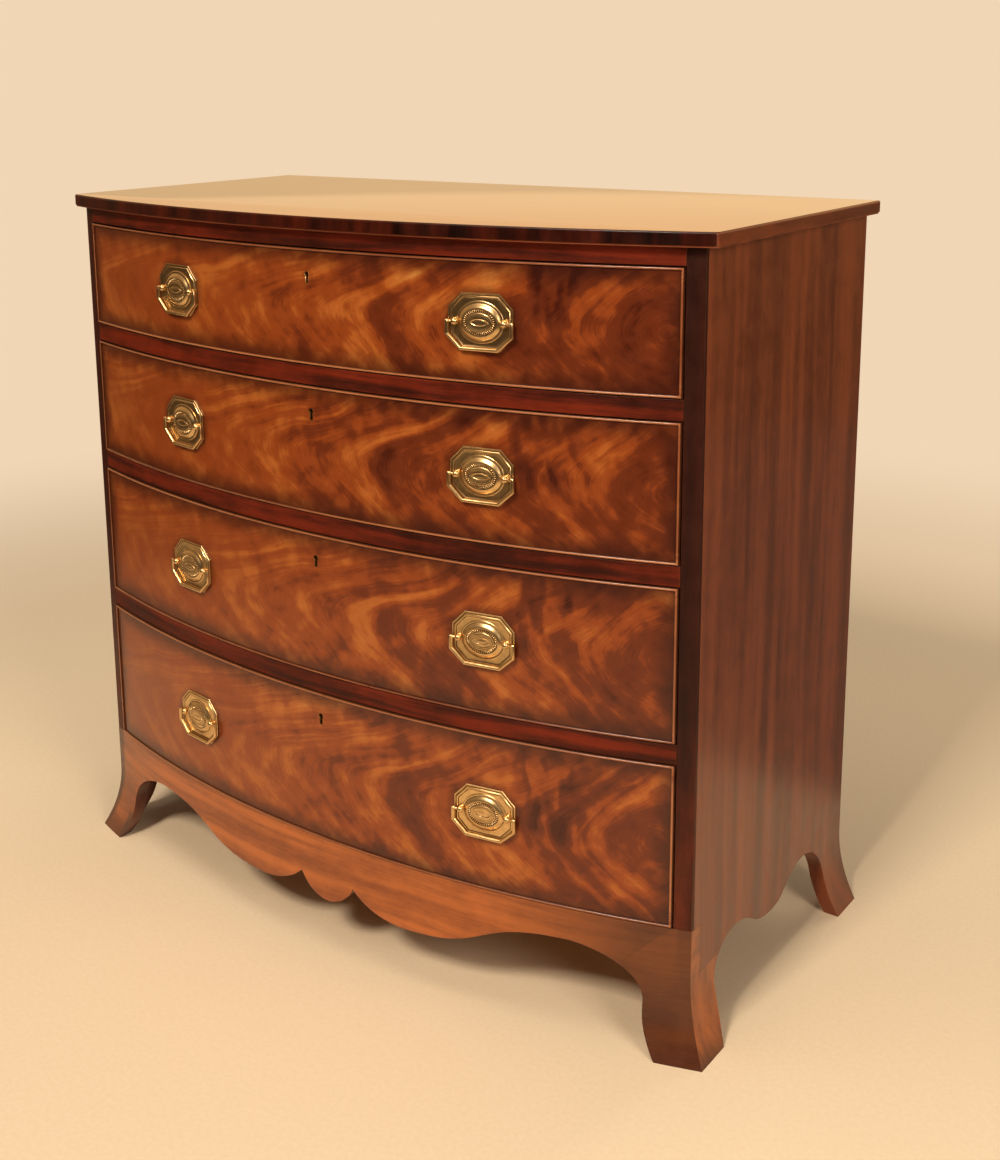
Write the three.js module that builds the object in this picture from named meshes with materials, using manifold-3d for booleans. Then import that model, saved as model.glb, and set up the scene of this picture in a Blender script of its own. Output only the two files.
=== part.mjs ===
// Bow front chest of four graduated drawers on splayed bracket feet, with octagonal bail handles.
// Millimetres, +Z up, front towards -Y. The origin is on the floor under the middle of the whole chest.
// Inside the chest group y is 0 at the case's front corners, and the bowed front swells towards -Y.
import * as THREE from "three";
import { mergeVertices } from "three/addons/utils/BufferGeometryUtils.js";
import Module from "manifold-3d";

const wasm = await Module();
wasm.setup();

// Case
const caseWidth = 1000;
const caseDepth = 449;
const bowRise = 83;
const sideThickness = 21;
const plinthHeight = 165;
const railThickness = 24.5;
const topRailHeight = 21;
const topRailDepth = 45;
const dustBoardThickness = 13;
const railDepth = 62;
const bottomThickness = 18;
const backThickness = 9;
const backBoardCount = 6;
const backGrooveWidth = 3;
const backGrooveDepth = 1.5;
const housingDepth = 6;
const housingSetBack = 26;
const bowSteps = 16;

// Top board
const topThickness = 17.5;
const topSideOverhang = 17;
const topFrontOverhang = 12;
const topCornerRadius = 6;
const topArrisRadius = 2.4;
const topStringHeight = 2.2;
const topStringInset = 1.2;

// Apron, feet and the arch under each side
const apronThickness = 22;
const archPeakInset = 148;
const archPeakHeight = 123.5;
const lobeOut = 128;
const lobeHeight = 76;
const cuspOut = 45;
const cuspHeight = 107;
const mitreReach = 69;
const mitreFall = 65;
const footFrontWidth = 53;
const footSideWidth = 57;
const rearFootWidth = 64;
const footThickness = 22;
const footWaistHeight = 61;
const footJoinHeight = 100;
const footFrontKick = 24;
const rearFootKick = 5;
const footSideFlare = 27;
const footFrontFlare = 18;
const flareHeight = 100;
const flareSteps = 6;
const footBlockSize = 30;
const sidePeakFront = 108;
const sidePeakRear = 130;
const sidePeakHeight = 116;
const sideDropOut = 222;
const sideDropHeight = 84.5;
const archSteps = 5;
const roundShare = 0.75;
const rearRoundShare = 0.5;
const swingShare = 0.55;

// Drawers, from the top one down
const drawerHeights = [144, 164, 188, 206];
const drawerGap = 1.5;
const frontThickness = 22;
const drawerSideThickness = 11;
const drawerSideDrop = 5;
const drawerBackThickness = 10;
const drawerBackDrop = 4;
const drawerRearGap = 14;
const drawerBottomThickness = 8;
const drawerBottomLift = 10;
const grooveDepth = 5;
const beadWidth = 3;
const beadProud = 2.5;
const beadRoot = 2;
const beadSteps = 3;
const tailPitch = 36;
const tailLap = 7;
const tailTipShare = 0.66;
const tailRootShare = 0.46;
const tailMargin = 6;

// Drawer stops
const stopLength = 44;
const stopDepth = 14;
const stopHeight = 5;
const stopOut = 330;

// Locks
const lockWidth = 60;
const lockHeight = 46;
const lockDepth = 11;
const lockTopDrop = 1;
const lockWall = 1.6;
const boltWidth = 26;
const boltThickness = 5;
const boltHeight = 36;
const boltFootWidth = 38;
const boltFootHeight = 8;
const morticeDepth = 9;
const morticeClearance = 3;
const keyDrop = 32;
const keyHeadRadius = 3;
const keySlotWidth = 3.6;
const keySlotLength = 11;
const escutcheonWall = 1;
const escutcheonDepth = 4;
const keySteps = 6;

// Handles
const handleOut = 247;
const plateWidth = 83;
const plateHeight = 67;
const plateTopLength = 49;
const plateSideLength = 32;
const plateThickness = 1.3;
const plateStep = 0.9;
const plateStepInset = 3.6;
const domeWidth = 60;
const domeHeight = 50;
const domeRise = 4.6;
const domeSteps = 16;
const domeRings = 2;
const postSpacing = 63;
const postHeadRadius = 4.5;
const postSides = 8;
const shankRadius = 2.4;
const shankSides = 6;
const nutWidth = 10;
const nutThickness = 4;
const nutGap = 1;
const bailRodRadius = 2.3;
const bailPinRadius = 1.5;
const bailPinBite = 2.4;
const bailClearance = 0.7;
const bailSides = 6;
const pinClearance = 0.5;

// Clearance between fitted pieces, and how far a cutter runs past what it cuts
const fitGap = 0.3;
const overrun = 4;

// Worked out from the sizes above
const caseHalf = caseWidth / 2;
const openingHalf = caseHalf - sideThickness;
const bowRadius = (caseHalf * caseHalf + bowRise * bowRise) / (2 * bowRise);
const bowCentreY = bowRadius - bowRise;
const openingHeights = drawerHeights.map((height) => height + 2 * drawerGap);
const openingFloors = openingFloorHeights();
const railsTop = openingFloors[0] + openingHeights[0];
const caseTop = railsTop + topRailHeight;
const backInnerY = caseDepth - backThickness;
const drawerHalf = openingHalf - drawerGap;
const drawerRearY = backInnerY - drawerRearGap;
const sideShoulderY = drawerRearY - drawerBackThickness - fitGap;
const drawerFloorLift = fitGap - drawerGap;
const handleAngle = Math.asin(handleOut / bowRadius);
const postReach = fitGap + plateThickness + plateStep + bailClearance + bailRodRadius;
const bailHalfWidth = plateWidth / 2;
const bailArmDrop = (plateSideLength - bailRodRadius) / 2;
const bailBarHalf = (plateTopLength - bailRodRadius) / 2;
const bailDrop = plateHeight / 2 - bailRodRadius;

function openingFloorHeights() {
  const floors = [];
  let floor = plinthHeight;
  for (let row = drawerHeights.length - 1; row >= 0; row -= 1) {
    floors[row] = floor;
    floor += openingHeights[row] + railThickness;
  }
  return floors;
}

// y of the bowed face at x, or of a surface that lies inset behind it
function bowY(x, inset = 0) {
  const radius = bowRadius - inset;
  return bowCentreY - Math.sqrt(radius * radius - x * x);
}

// Points along the bow from left to right
function bowLine(half, inset = 0, steps = bowSteps) {
  const points = [];
  for (let step = 0; step <= steps; step += 1) {
    const x = half * (2 * step / steps - 1);
    points.push([x, bowY(x, inset)]);
  }
  return points;
}

const materials = {
  flame: wood("#8a4a22", 0.3),
  mahogany: wood("#5a2a18", 0.35),
  sideMahogany: wood("#6b3a26", 0.4),
  apronMahogany: wood("#8f4f29", 0.35),
  oak: wood("#b08a5c", 0.7),
  pine: wood("#a8824f", 0.8),
  brass: new THREE.MeshStandardMaterial({ color: "#b8933f", roughness: 0.3, metalness: 1 }),
  steel: new THREE.MeshStandardMaterial({ color: "#6d6a63", roughness: 0.5, metalness: 1 }),
};

function wood(color, roughness) {
  return new THREE.MeshStandardMaterial({ color, roughness, metalness: 0 });
}

// Solids
function solidOf(geometry) {
  const bare = geometry.clone();
  bare.deleteAttribute("normal");
  bare.deleteAttribute("uv");
  const merged = mergeVertices(bare);
  const mesh = new wasm.Mesh({
    numProp: 3,
    vertProperties: new Float32Array(merged.attributes.position.array),
    triVerts: new Uint32Array(merged.index.array),
  });
  return new wasm.Manifold(mesh);
}

function geometryOf(solid) {
  const { vertProperties, triVerts } = solid.getMesh();
  const geometry = new THREE.BufferGeometry();
  geometry.setAttribute("position", new THREE.BufferAttribute(vertProperties, 3));
  geometry.setIndex(new THREE.BufferAttribute(triVerts, 1));
  return geometry;
}

function block(x0, x1, y0, y1, z0, z1) {
  const geometry = new THREE.BoxGeometry(x1 - x0, y1 - y0, z1 - z0);
  geometry.translate((x0 + x1) / 2, (y0 + y1) / 2, (z0 + z1) / 2);
  return solidOf(geometry);
}

function extruded(points, length) {
  const shape = new THREE.Shape(points.map(([u, v]) => new THREE.Vector2(u, v)));
  return new THREE.ExtrudeGeometry(shape, { depth: length, bevelEnabled: false });
}

// A plan outline (x, y) standing from low to high
function prismZ(points, low, high) {
  const geometry = extruded(points, high - low);
  geometry.translate(0, 0, low);
  return solidOf(geometry);
}

// An outline seen from the front (x, z), running from front to back
function prismY(points, front, back) {
  const geometry = extruded(points, back - front);
  geometry.applyMatrix4(new THREE.Matrix4().makeBasis(
    new THREE.Vector3(1, 0, 0), new THREE.Vector3(0, 0, 1), new THREE.Vector3(0, -1, 0)));
  geometry.translate(0, back, 0);
  return solidOf(geometry);
}

// An outline seen from the side (y, z), running from left to right
function prismX(points, left, right) {
  const geometry = extruded(points, right - left);
  geometry.applyMatrix4(new THREE.Matrix4().makeBasis(
    new THREE.Vector3(0, 1, 0), new THREE.Vector3(0, 0, 1), new THREE.Vector3(1, 0, 0)));
  geometry.translate(left, 0, 0);
  return solidOf(geometry);
}

// A skin through closed rings of equal length, capped at both ends; faces are turned outwards by volume
function lofted(rings) {
  const count = rings[0].length;
  const faces = [];
  for (let level = 0; level + 1 < rings.length; level += 1) {
    for (let step = 0; step < count; step += 1) {
      const next = (step + 1) % count;
      const a = level * count + step;
      const b = level * count + next;
      const c = (level + 1) * count + next;
      const d = (level + 1) * count + step;
      faces.push(a, b, c, a, c, d);
    }
  }
  const first = capFaces(rings[0]);
  const last = capFaces(rings[rings.length - 1]);
  const lastStart = (rings.length - 1) * count;
  first.forEach(([a, b, c]) => faces.push(a, c, b));
  last.forEach(([a, b, c]) => faces.push(lastStart + a, lastStart + b, lastStart + c));
  const geometry = new THREE.BufferGeometry();
  const positions = new Float32Array(rings.flat(2));
  geometry.setAttribute("position", new THREE.BufferAttribute(positions, 3));
  geometry.setIndex(faces);
  if (signedVolume(positions, faces) < 0) {
    for (let face = 0; face < faces.length; face += 3) {
      const keep = faces[face];
      faces[face] = faces[face + 1];
      faces[face + 1] = keep;
    }
    geometry.setIndex(faces);
  }
  return solidOf(geometry);
}

// Triangles of a flat ring, wound as the ring itself runs
function capFaces(ring) {
  const points = ring.map((p) => new THREE.Vector3(...p));
  const centre = points.reduce((sum, p) => sum.add(p), new THREE.Vector3()).divideScalar(points.length);
  const normal = new THREE.Vector3();
  points.forEach((p, index) => {
    const next = points[(index + 1) % points.length];
    normal.add(p.clone().sub(centre).cross(next.clone().sub(centre)));
  });
  normal.normalize();
  const across = new THREE.Vector3(1, 0, 0);
  if (Math.abs(normal.x) > Math.SQRT1_2) across.set(0, 1, 0);
  const u = across.cross(normal).normalize();
  const v = normal.clone().cross(u);
  const flat = points.map((p) => new THREE.Vector2(p.dot(u), p.dot(v)));
  return THREE.ShapeUtils.triangulateShape(flat, []);
}

function signedVolume(positions, faces) {
  let sum = 0;
  const at = (index) => new THREE.Vector3().fromArray(positions, 3 * index);
  for (let face = 0; face < faces.length; face += 3) {
    sum += at(faces[face]).dot(at(faces[face + 1]).cross(at(faces[face + 2])));
  }
  return sum;
}

// Joins a list of solids
function joined(solids) {
  return solids.reduce((whole, solid) => whole.add(solid));
}

function named(name, solid, material) {
  const mesh = new THREE.Mesh(geometryOf(solid), material);
  mesh.name = name;
  return mesh;
}

// The left half of a symmetric piece from the right half
function mirrored(solid) {
  return solid.mirror([1, 0, 0]);
}

// Points of a cubic curve after its start, up to and including its end
function curve(start, leave, arrive, end, steps = archSteps) {
  const bezier = new THREE.CubicBezierCurve(
    new THREE.Vector2(...start), new THREE.Vector2(...leave),
    new THREE.Vector2(...arrive), new THREE.Vector2(...end));
  return bezier.getPoints(steps).slice(1).map((p) => [p.x, p.y]);
}

// A plate with a bowed front from its inset line to a straight back edge
function bowedPlate(half, inset, backY, low, high) {
  return prismZ([...bowLine(half, inset), [half, backY], [-half, backY]], low, high);
}

// A bowed board of even thickness between two inset lines
function bowedBoard(half, outerInset, innerInset, low, high) {
  return prismZ([...bowLine(half, outerInset), ...bowLine(half, innerInset).reverse()], low, high);
}

// Top board: bowed front, overhanging sides, eased corners and arris, thin set-back string along the bottom
function topBoard() {
  const bottom = caseTop + fitGap;
  const top = caseTop + topThickness;
  const soft = topArrisRadius * (1 - Math.SQRT1_2);
  const levels = [
    [bottom, topStringInset],
    [bottom + topStringHeight, topStringInset],
    [bottom + topStringHeight, 0],
    [top - topArrisRadius, 0],
    [top - soft, soft],
    [top, topArrisRadius],
  ];
  return lofted(levels.map(([z, inset]) => topOutline(inset).map(([x, y]) => [x, y, z])));
}

function topOutline(inset) {
  const half = caseHalf + topSideOverhang - inset;
  const back = caseDepth - inset;
  const frontInset = inset - topFrontOverhang;
  const reach = half - topCornerRadius;
  const line = bowLine(reach, frontInset);
  const corner = [half, bowY(half, frontInset)];
  const leave = [half, corner[1] + topCornerRadius];
  const round = [1, 2, 3].map((step) => quadratic(line[line.length - 1], corner, leave, step / 3));
  const left = round.map(([x, y]) => [-x, y]).reverse();
  return [...left, ...line, ...round, [half, back], [-half, back]];
}

function quadratic(start, control, end, share) {
  const mix = (a, b, c) => (1 - share) ** 2 * a + 2 * share * (1 - share) * b + share ** 2 * c;
  return [mix(start[0], control[0], end[0]), mix(start[1], control[1], end[1])];
}

// How far a foot has swept outwards at a height, as a share of its full flare
function flareShare(z) {
  return z >= flareHeight ? 0 : (1 - z / flareHeight) ** 2;
}

function flareLevels(top) {
  const levels = [];
  for (let step = 0; step <= flareSteps; step += 1) {
    levels.push(flareHeight * step / flareSteps);
  }
  return [...levels, top];
}

// Inner edge of a foot from the floor up to its waist, kicked outwards at the floor
function toeLine(waist, kick) {
  const points = [];
  for (let step = 0; step <= archSteps; step += 1) {
    const z = footWaistHeight * step / archSteps;
    points.push([waist + kick * (1 - step / archSteps) ** 2, z]);
  }
  return points;
}

// Leaves upright and arrives level, as an arch does beside a foot
function archShoulder(start, end, share = roundShare) {
  const leave = [start[0], start[1] + (end[1] - start[1]) * share];
  const arrive = [end[0] + (start[0] - end[0]) * (1 - share), end[1]];
  return curve(start, leave, arrive, end);
}

// Leaves and arrives level
function archSwing(start, end) {
  const run = (end[0] - start[0]) * swingShare;
  return curve(start, [start[0] + run, start[1]], [end[0] - run, end[1]], end);
}

// Right half of the lower edge seen from the front, from the toe of the foot to the middle of the apron
function frontEdgeLine() {
  const waist = [caseHalf - footFrontWidth, footWaistHeight];
  const peak = [caseHalf - archPeakInset, archPeakHeight];
  const lobe = [lobeOut, lobeHeight];
  const cusp = [cuspOut, cuspHeight];
  const middle = [0, lobeHeight];
  const lobeRun = lobe[0] - cusp[0];
  const rise = cusp[1] - lobe[1];
  return [
    ...toeLine(waist[0], footFrontKick),
    ...archShoulder(waist, peak),
    ...archSwing(peak, lobe),
    ...curve(lobe, [lobe[0] - lobeRun / 2, lobe[1]], [cusp[0] + lobeRun / 6, cusp[1] - rise / 2], cusp),
    ...curve(cusp, [cusp[0] - cusp[0] / 6, cusp[1] - rise / 2], [cusp[0] / 2, middle[1]], middle),
  ];
}

// Everything of the chest seen from the front, down to its lower edge
function frontSilhouette() {
  const right = frontEdgeLine();
  const left = right.slice(0, -1).map(([x, z]) => [-x, z]).reverse();
  const reach = caseHalf + footSideFlare + overrun;
  const line = [[reach, 0], ...right, ...left, [-reach, 0]];
  return [...line, [-reach, caseTop], [reach, caseTop]].reverse();
}

// Everything of a side seen from the side, down to the arch between its feet
function sideSilhouette() {
  const waist = [footSideWidth, footWaistHeight];
  const peak = [sidePeakFront, sidePeakHeight];
  const drop = [sideDropOut, sideDropHeight];
  const rearPeak = [caseDepth - sidePeakRear, sidePeakHeight];
  const rearWaist = [caseDepth - rearFootWidth, footWaistHeight];
  const front = -bowRise - footFrontFlare - overrun;
  return [
    [front, 0],
    ...toeLine(waist[0], -footFrontFlare),
    ...archShoulder(waist, peak),
    ...archSwing(peak, drop),
    ...archSwing(drop, rearPeak),
    ...archShoulder(rearWaist, rearPeak, rearRoundShare).slice(0, -1).reverse(),
    ...toeLine(rearWaist[0], rearFootKick).reverse(),
    [caseDepth, 0],
    [caseDepth, caseTop],
    [front, caseTop],
  ];
}

// The corner of a side that the front foot takes up, grown by the gap between them
function footSideRegion(gap) {
  const front = -bowRise - footFrontFlare - 2 * overrun;
  return prismX([
    [front, -overrun],
    [sidePeakFront, -overrun],
    [sidePeakFront, footJoinHeight + gap],
    [apronThickness + gap, footJoinHeight + gap],
    [apronThickness + gap, plinthHeight + gap],
    [front, plinthHeight + gap],
  ], openingHalf - caseHalf, caseHalf + footSideFlare + overrun);
}

// The corner of the apron that the right front foot takes up, with its mitred upper joint
function footMitreRegion(gap) {
  const top = [openingHalf - gap, plinthHeight + overrun];
  const bottom = [openingHalf - mitreReach - gap, plinthHeight + overrun - mitreFall - overrun];
  const reach = caseHalf + footSideFlare + overrun;
  const outline = [top, bottom, [bottom[0], -overrun], [reach, -overrun], [reach, top[1]]];
  return prismY(outline, -bowRise - footFrontFlare - overrun, caseDepth);
}

// Right side board with its bowed front edge and splayed rear foot, housed for the dividers
function sideBoard() {
  const front = -bowRise;
  const rings = flareLevels(caseTop).map((z) => {
    const out = footSideFlare * flareShare(z);
    const inner = openingHalf + out;
    const outer = caseHalf + out;
    return [[inner, front, z], [outer, front, z], [outer, caseDepth, z], [inner, caseDepth, z]];
  });
  const reach = caseHalf + footSideFlare + overrun;
  const bow = bowLine(caseHalf);
  const rear = caseDepth + overrun;
  const plan = [...bow, [reach, 0], [reach, rear], [-reach, rear], [-reach, 0]];
  let board = lofted(rings)
    .intersect(prismX(sideSilhouette(), 0, reach))
    .intersect(prismZ(plan, -overrun, caseTop + overrun))
    .subtract(footSideRegion(fitGap));
  for (const floor of openingFloors.slice(0, -1)) {
    board = board.subtract(block(
      openingHalf - overrun, openingHalf + housingDepth + fitGap,
      housingSetBack - fitGap, backInnerY + fitGap,
      floor - dustBoardThickness - fitGap, floor + fitGap));
  }
  return board;
}

// A front foot for the right: bracket wings along the front and the side, swept outwards at the floor
function frontFoot() {
  const wingEnd = openingHalf - mitreReach - overrun;
  const wingMiddle = (wingEnd + caseHalf) / 2;
  const sideEnd = sidePeakFront;
  const inner = caseHalf - footThickness;
  const rings = flareLevels(plinthHeight).map((z) => {
    const out = footSideFlare * flareShare(z);
    const forward = footFrontFlare * flareShare(z);
    const section = [
      [wingEnd, bowY(wingEnd)],
      [wingMiddle, bowY(wingMiddle)],
      [caseHalf, 0],
      [caseHalf, sideEnd],
      [inner, sideEnd],
      [inner, apronThickness + footBlockSize],
      [inner - footBlockSize, bowY(inner - footBlockSize, apronThickness)],
      [wingEnd, bowY(wingEnd, apronThickness)],
    ];
    return section.map(([x, y]) => [x + out, y - forward, z]);
  });
  return lofted(rings)
    .intersect(prismY(frontSilhouette(), -bowRise - footFrontFlare - overrun, caseDepth))
    .intersect(prismX(sideSilhouette(), 0, caseHalf + footSideFlare + overrun))
    .intersect(footSideRegion(0))
    .intersect(footMitreRegion(0))
    .subtract(caseBottomSolid(fitGap));
}

// Shaped apron between the mitred joints of the two front feet
function apron() {
  const taken = footMitreRegion(fitGap);
  return bowedBoard(openingHalf, 0, apronThickness, 0, plinthHeight)
    .intersect(prismY(frontSilhouette(), -bowRise - footFrontFlare - overrun, caseDepth))
    .subtract(taken)
    .subtract(mirrored(taken));
}

function caseBottomSolid(gap) {
  const low = plinthHeight - bottomThickness;
  const back = backInnerY - fitGap;
  const inset = apronThickness + fitGap - gap;
  return bowedPlate(openingHalf - fitGap, inset, back, low - gap, plinthHeight + gap);
}

// Grooved back boards, read as one panel
function backBoards() {
  const half = openingHalf - fitGap;
  const pitch = 2 * half / backBoardCount;
  const line = [[-half, backInnerY], [half, backInnerY], [half, caseDepth]];
  for (let board = backBoardCount - 1; board > 0; board -= 1) {
    const x = -half + board * pitch;
    line.push([x + backGrooveWidth / 2, caseDepth], [x, caseDepth - backGrooveDepth]);
    line.push([x - backGrooveWidth / 2, caseDepth]);
  }
  line.push([-half, caseDepth]);
  return prismZ(line, sidePeakHeight, caseTop - fitGap);
}

// Mortice in the rail over a drawer for the bolt of its lock
function boltMortice(railBottom) {
  const half = boltWidth / 2 + morticeClearance;
  const middle = lockMiddleY();
  const depth = boltThickness / 2 + morticeClearance;
  const high = railBottom + morticeDepth;
  return block(-half, half, middle - depth, middle + depth, railBottom - overrun, high);
}

function topRail() {
  const half = openingHalf - fitGap;
  return bowedPlate(half, 0, topRailDepth, railsTop, caseTop - fitGap).subtract(boltMortice(railsTop));
}

// Bowed rail with a thinner dust board behind it, housed in the sides, with two drawer stops on top
function divider(row) {
  const top = openingFloors[row];
  const bottom = top - railThickness;
  const half = openingHalf - fitGap;
  const back = backInnerY - fitGap;
  const rail = bowedPlate(half, 0, railDepth, bottom, top);
  const board = block(-half, half, 0, back, top - dustBoardThickness, top);
  const housed = openingHalf + housingDepth;
  const tongues = block(-housed, housed, housingSetBack, back, top - dustBoardThickness, top);
  const stops = [-1, 1].map((side) => {
    const x = side * stopOut;
    const front = bowY(stopOut - stopLength / 2, frontThickness) + stopDepth;
    const low = top - dustBoardThickness / 2;
    return block(x - stopLength / 2, x + stopLength / 2, front, front + stopDepth, low, top + stopHeight);
  });
  return joined([rail, board, tongues, ...stops]).subtract(boltMortice(bottom));
}

// Middle of the bolt's thickness, behind the middle of a drawer front
function lockMiddleY() {
  return -bowRise + frontThickness - lockDepth / 2;
}

// Centre height, narrow width and wide width of each dovetail on a drawer corner
function tails(height) {
  const low = drawerBottomLift + drawerBottomThickness + tailMargin;
  const high = height - drawerSideDrop - tailMargin;
  const count = Math.max(2, Math.round((high - low) / tailPitch));
  const pitch = (high - low) / count;
  const rows = [];
  for (let tail = 0; tail < count; tail += 1) {
    rows.push({
      middle: low + (tail + 1 / 2) * pitch,
      tip: pitch * tailTipShare / 2,
      root: pitch * tailRootShare / 2,
    });
  }
  return rows;
}

// Dovetails on a right side, from a root line to a tip line. Grown by a gap they are their own sockets.
function tailSolids(height, rootY, tipY, left, right, gap) {
  const way = Math.sign(tipY - rootY);
  const start = rootY - way * gap;
  const end = tipY + way * gap;
  return tails(height).map(({ middle, tip, root }) => prismX([
    [start, middle - root - gap],
    [end, middle - tip - gap],
    [end, middle + tip + gap],
    [start, middle + root + gap],
  ], left, right));
}

// Tails of a right side's front end, which stop short of the face of the drawer front
function frontTails(height, left, right, gap) {
  const root = bowY(drawerHalf, frontThickness) + overrun;
  const tip = bowY(drawerHalf) + tailLap;
  return tailSolids(height, root, tip, left, right, gap);
}

// Tails of a right side's rear end, which pass through the back
function rearTails(height, left, right, gap) {
  return tailSolids(height, sideShoulderY - overrun, drawerRearY, left, right, gap);
}

// Half-round nose of the cock bead, across its width, from its root inside the front to its nose
function beadProfile(low, high) {
  const radius = (high - low) / 2;
  const middle = (low + high) / 2;
  const points = [[-beadRoot, high], [-beadRoot, low]];
  for (let step = 0; step <= beadSteps; step += 1) {
    const turn = Math.PI * (step / beadSteps - 1 / 2);
    points.push([beadProud - radius + radius * Math.cos(turn), middle + radius * Math.sin(turn)]);
  }
  return points;
}

// A bead along the bow; its profile is given outwards from the face and upwards
function bowedBead(low, high) {
  const stations = bowLine(drawerHalf + overrun).map(([x]) => x);
  return lofted(stations.map((x) => beadProfile(low, high).map(([out, z]) => [x, bowY(x, -out), z])));
}

// The upright bead at the right end; its outer face is trimmed with the rest of the front
function endBead(height) {
  const low = drawerHalf - beadWidth;
  const face = bowY(drawerHalf - beadWidth / 2);
  const profile = beadProfile(low, drawerHalf + fitGap).map(([out, x]) => [x, face - out]);
  return prismZ(profile, 0, height);
}

// Keyhole outline around a point on its axis, grown outwards by a wall
function keyholeOutline(middleZ, wall) {
  const radius = keyHeadRadius + wall;
  const half = keySlotWidth / 2 + wall;
  const leave = Math.asin(half / radius);
  const points = [];
  for (let step = 0; step <= keySteps; step += 1) {
    const turn = -Math.PI / 2 + leave + (2 * Math.PI - 2 * leave) * step / keySteps;
    points.push([radius * Math.cos(turn), middleZ + radius * Math.sin(turn)]);
  }
  const foot = middleZ - keySlotLength - wall;
  return [...points, [-half, foot], [half, foot]];
}

// Drawer front with its cock bead, sockets, groove, lock pocket, keyhole and shank holes
function drawerFront(height) {
  const inner = -bowRise + frontThickness;
  const pocketFront = inner - lockDepth - fitGap;
  const pocketHalf = lockWidth / 2 + fitGap;
  const pocketLow = height - lockTopDrop - lockHeight - fitGap;
  const keyZ = height - keyDrop;
  const sideInner = drawerHalf - drawerSideThickness - fitGap;
  const sockets = frontTails(height, sideInner, drawerHalf + overrun, fitGap);
  const grooveFront = frontThickness - grooveDepth - fitGap;
  const grooveLow = drawerBottomLift - fitGap;
  const grooveHigh = drawerBottomLift + drawerBottomThickness + fitGap;
  const front = -bowRise - beadProud - overrun;
  let solid = joined([
    bowedBoard(drawerHalf + overrun, 0, frontThickness, 0, height),
    bowedBead(0, beadWidth),
    bowedBead(height - beadWidth, height),
    endBead(height),
    mirrored(endBead(height)),
  ]).intersect(block(-drawerHalf, drawerHalf, front, caseDepth, 0, height));
  for (const socket of sockets) {
    solid = solid.subtract(socket).subtract(mirrored(socket));
  }
  solid = solid
    .subtract(bowedBoard(drawerHalf - drawerSideThickness + grooveDepth + fitGap, grooveFront,
      frontThickness + overrun, grooveLow, grooveHigh))
    .subtract(block(-pocketHalf, pocketHalf, pocketFront, inner + overrun, pocketLow, height + overrun))
    .subtract(prismY(keyholeOutline(keyZ, 0), front, inner))
    .subtract(prismY(keyholeOutline(keyZ, escutcheonWall + fitGap / 2),
      front, -bowRise + escutcheonDepth + fitGap));
  for (const side of [-1, 1]) {
    for (const post of [-1, 1]) {
      solid = solid.subtract(shankHole(side, post, height / 2));
    }
  }
  return solid;
}

// A hole through the front for one shank of a handle
function shankHole(side, post, z) {
  const hole = new THREE.CylinderGeometry(
    shankRadius + pinClearance, shankRadius + pinClearance, frontThickness * 2, shankSides);
  const place = new THREE.Object3D();
  place.position.set(side * handleX(), bowY(handleX()), z);
  place.rotation.z = side * handleAngle;
  place.updateMatrix();
  hole.translate(post * postSpacing / 2, frontThickness / 2, 0);
  hole.applyMatrix4(place.matrix);
  return solidOf(hole);
}

function handleX() {
  return bowRadius * Math.sin(handleAngle);
}

// The right side of a drawer, with dovetails at both ends and a groove for the bottom
function drawerSide(height) {
  const inner = drawerHalf - drawerSideThickness;
  const top = height - drawerSideDrop;
  const board = block(inner, drawerHalf, bowY(drawerHalf), sideShoulderY, drawerFloorLift, top)
    .subtract(bowedBoard(caseHalf, -overrun, frontThickness + fitGap, -overrun, caseTop));
  const ends = [...frontTails(height, inner, drawerHalf, 0), ...rearTails(height, inner, drawerHalf, 0)];
  const groove = block(
    inner - overrun, inner + grooveDepth + fitGap, -bowRise, drawerRearY + overrun,
    drawerBottomLift - fitGap, drawerBottomLift + drawerBottomThickness + fitGap);
  return joined([board, ...ends]).subtract(groove);
}

// The back stands on the bottom between the sides' tails
function drawerBack(height) {
  const low = drawerBottomLift + drawerBottomThickness + fitGap;
  const high = height - drawerSideDrop - drawerBackDrop;
  const front = drawerRearY - drawerBackThickness;
  const inner = drawerHalf - drawerSideThickness - fitGap;
  let solid = block(-drawerHalf, drawerHalf, front, drawerRearY, low, high);
  for (const socket of rearTails(height, inner, drawerHalf + overrun, fitGap)) {
    solid = solid.subtract(socket).subtract(mirrored(socket));
  }
  return solid;
}

function drawerBottom() {
  const half = drawerHalf - drawerSideThickness + grooveDepth;
  const inset = frontThickness - grooveDepth;
  return bowedPlate(half, inset, drawerRearY, drawerBottomLift, drawerBottomLift + drawerBottomThickness);
}

// Keyhole lining in the face of the front
function escutcheon(height) {
  const keyZ = height - keyDrop;
  const face = bowY(0);
  return prismY(keyholeOutline(keyZ, escutcheonWall), face, face + escutcheonDepth)
    .subtract(prismY(keyholeOutline(keyZ, 0), face - overrun, face + escutcheonDepth + overrun));
}

// Lock case, hollow towards the drawer front, with the slot for its bolt and the way for its key
function lockCase(height) {
  const half = lockWidth / 2;
  const back = -bowRise + frontThickness;
  const front = back - lockDepth;
  const top = height - lockTopDrop;
  const low = top - lockHeight;
  const boltHalf = boltWidth / 2 + fitGap;
  const middle = lockMiddleY();
  const boltDeep = boltThickness / 2 + fitGap;
  return block(-half, half, front, back, low, top)
    .subtract(block(
      -half + lockWall, half - lockWall, front - overrun, middle + boltDeep,
      low + lockWall, top - lockWall))
    .subtract(block(
      -boltHalf, boltHalf, middle - boltDeep, middle + boltDeep,
      top - overrun, top + overrun));
}

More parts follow.
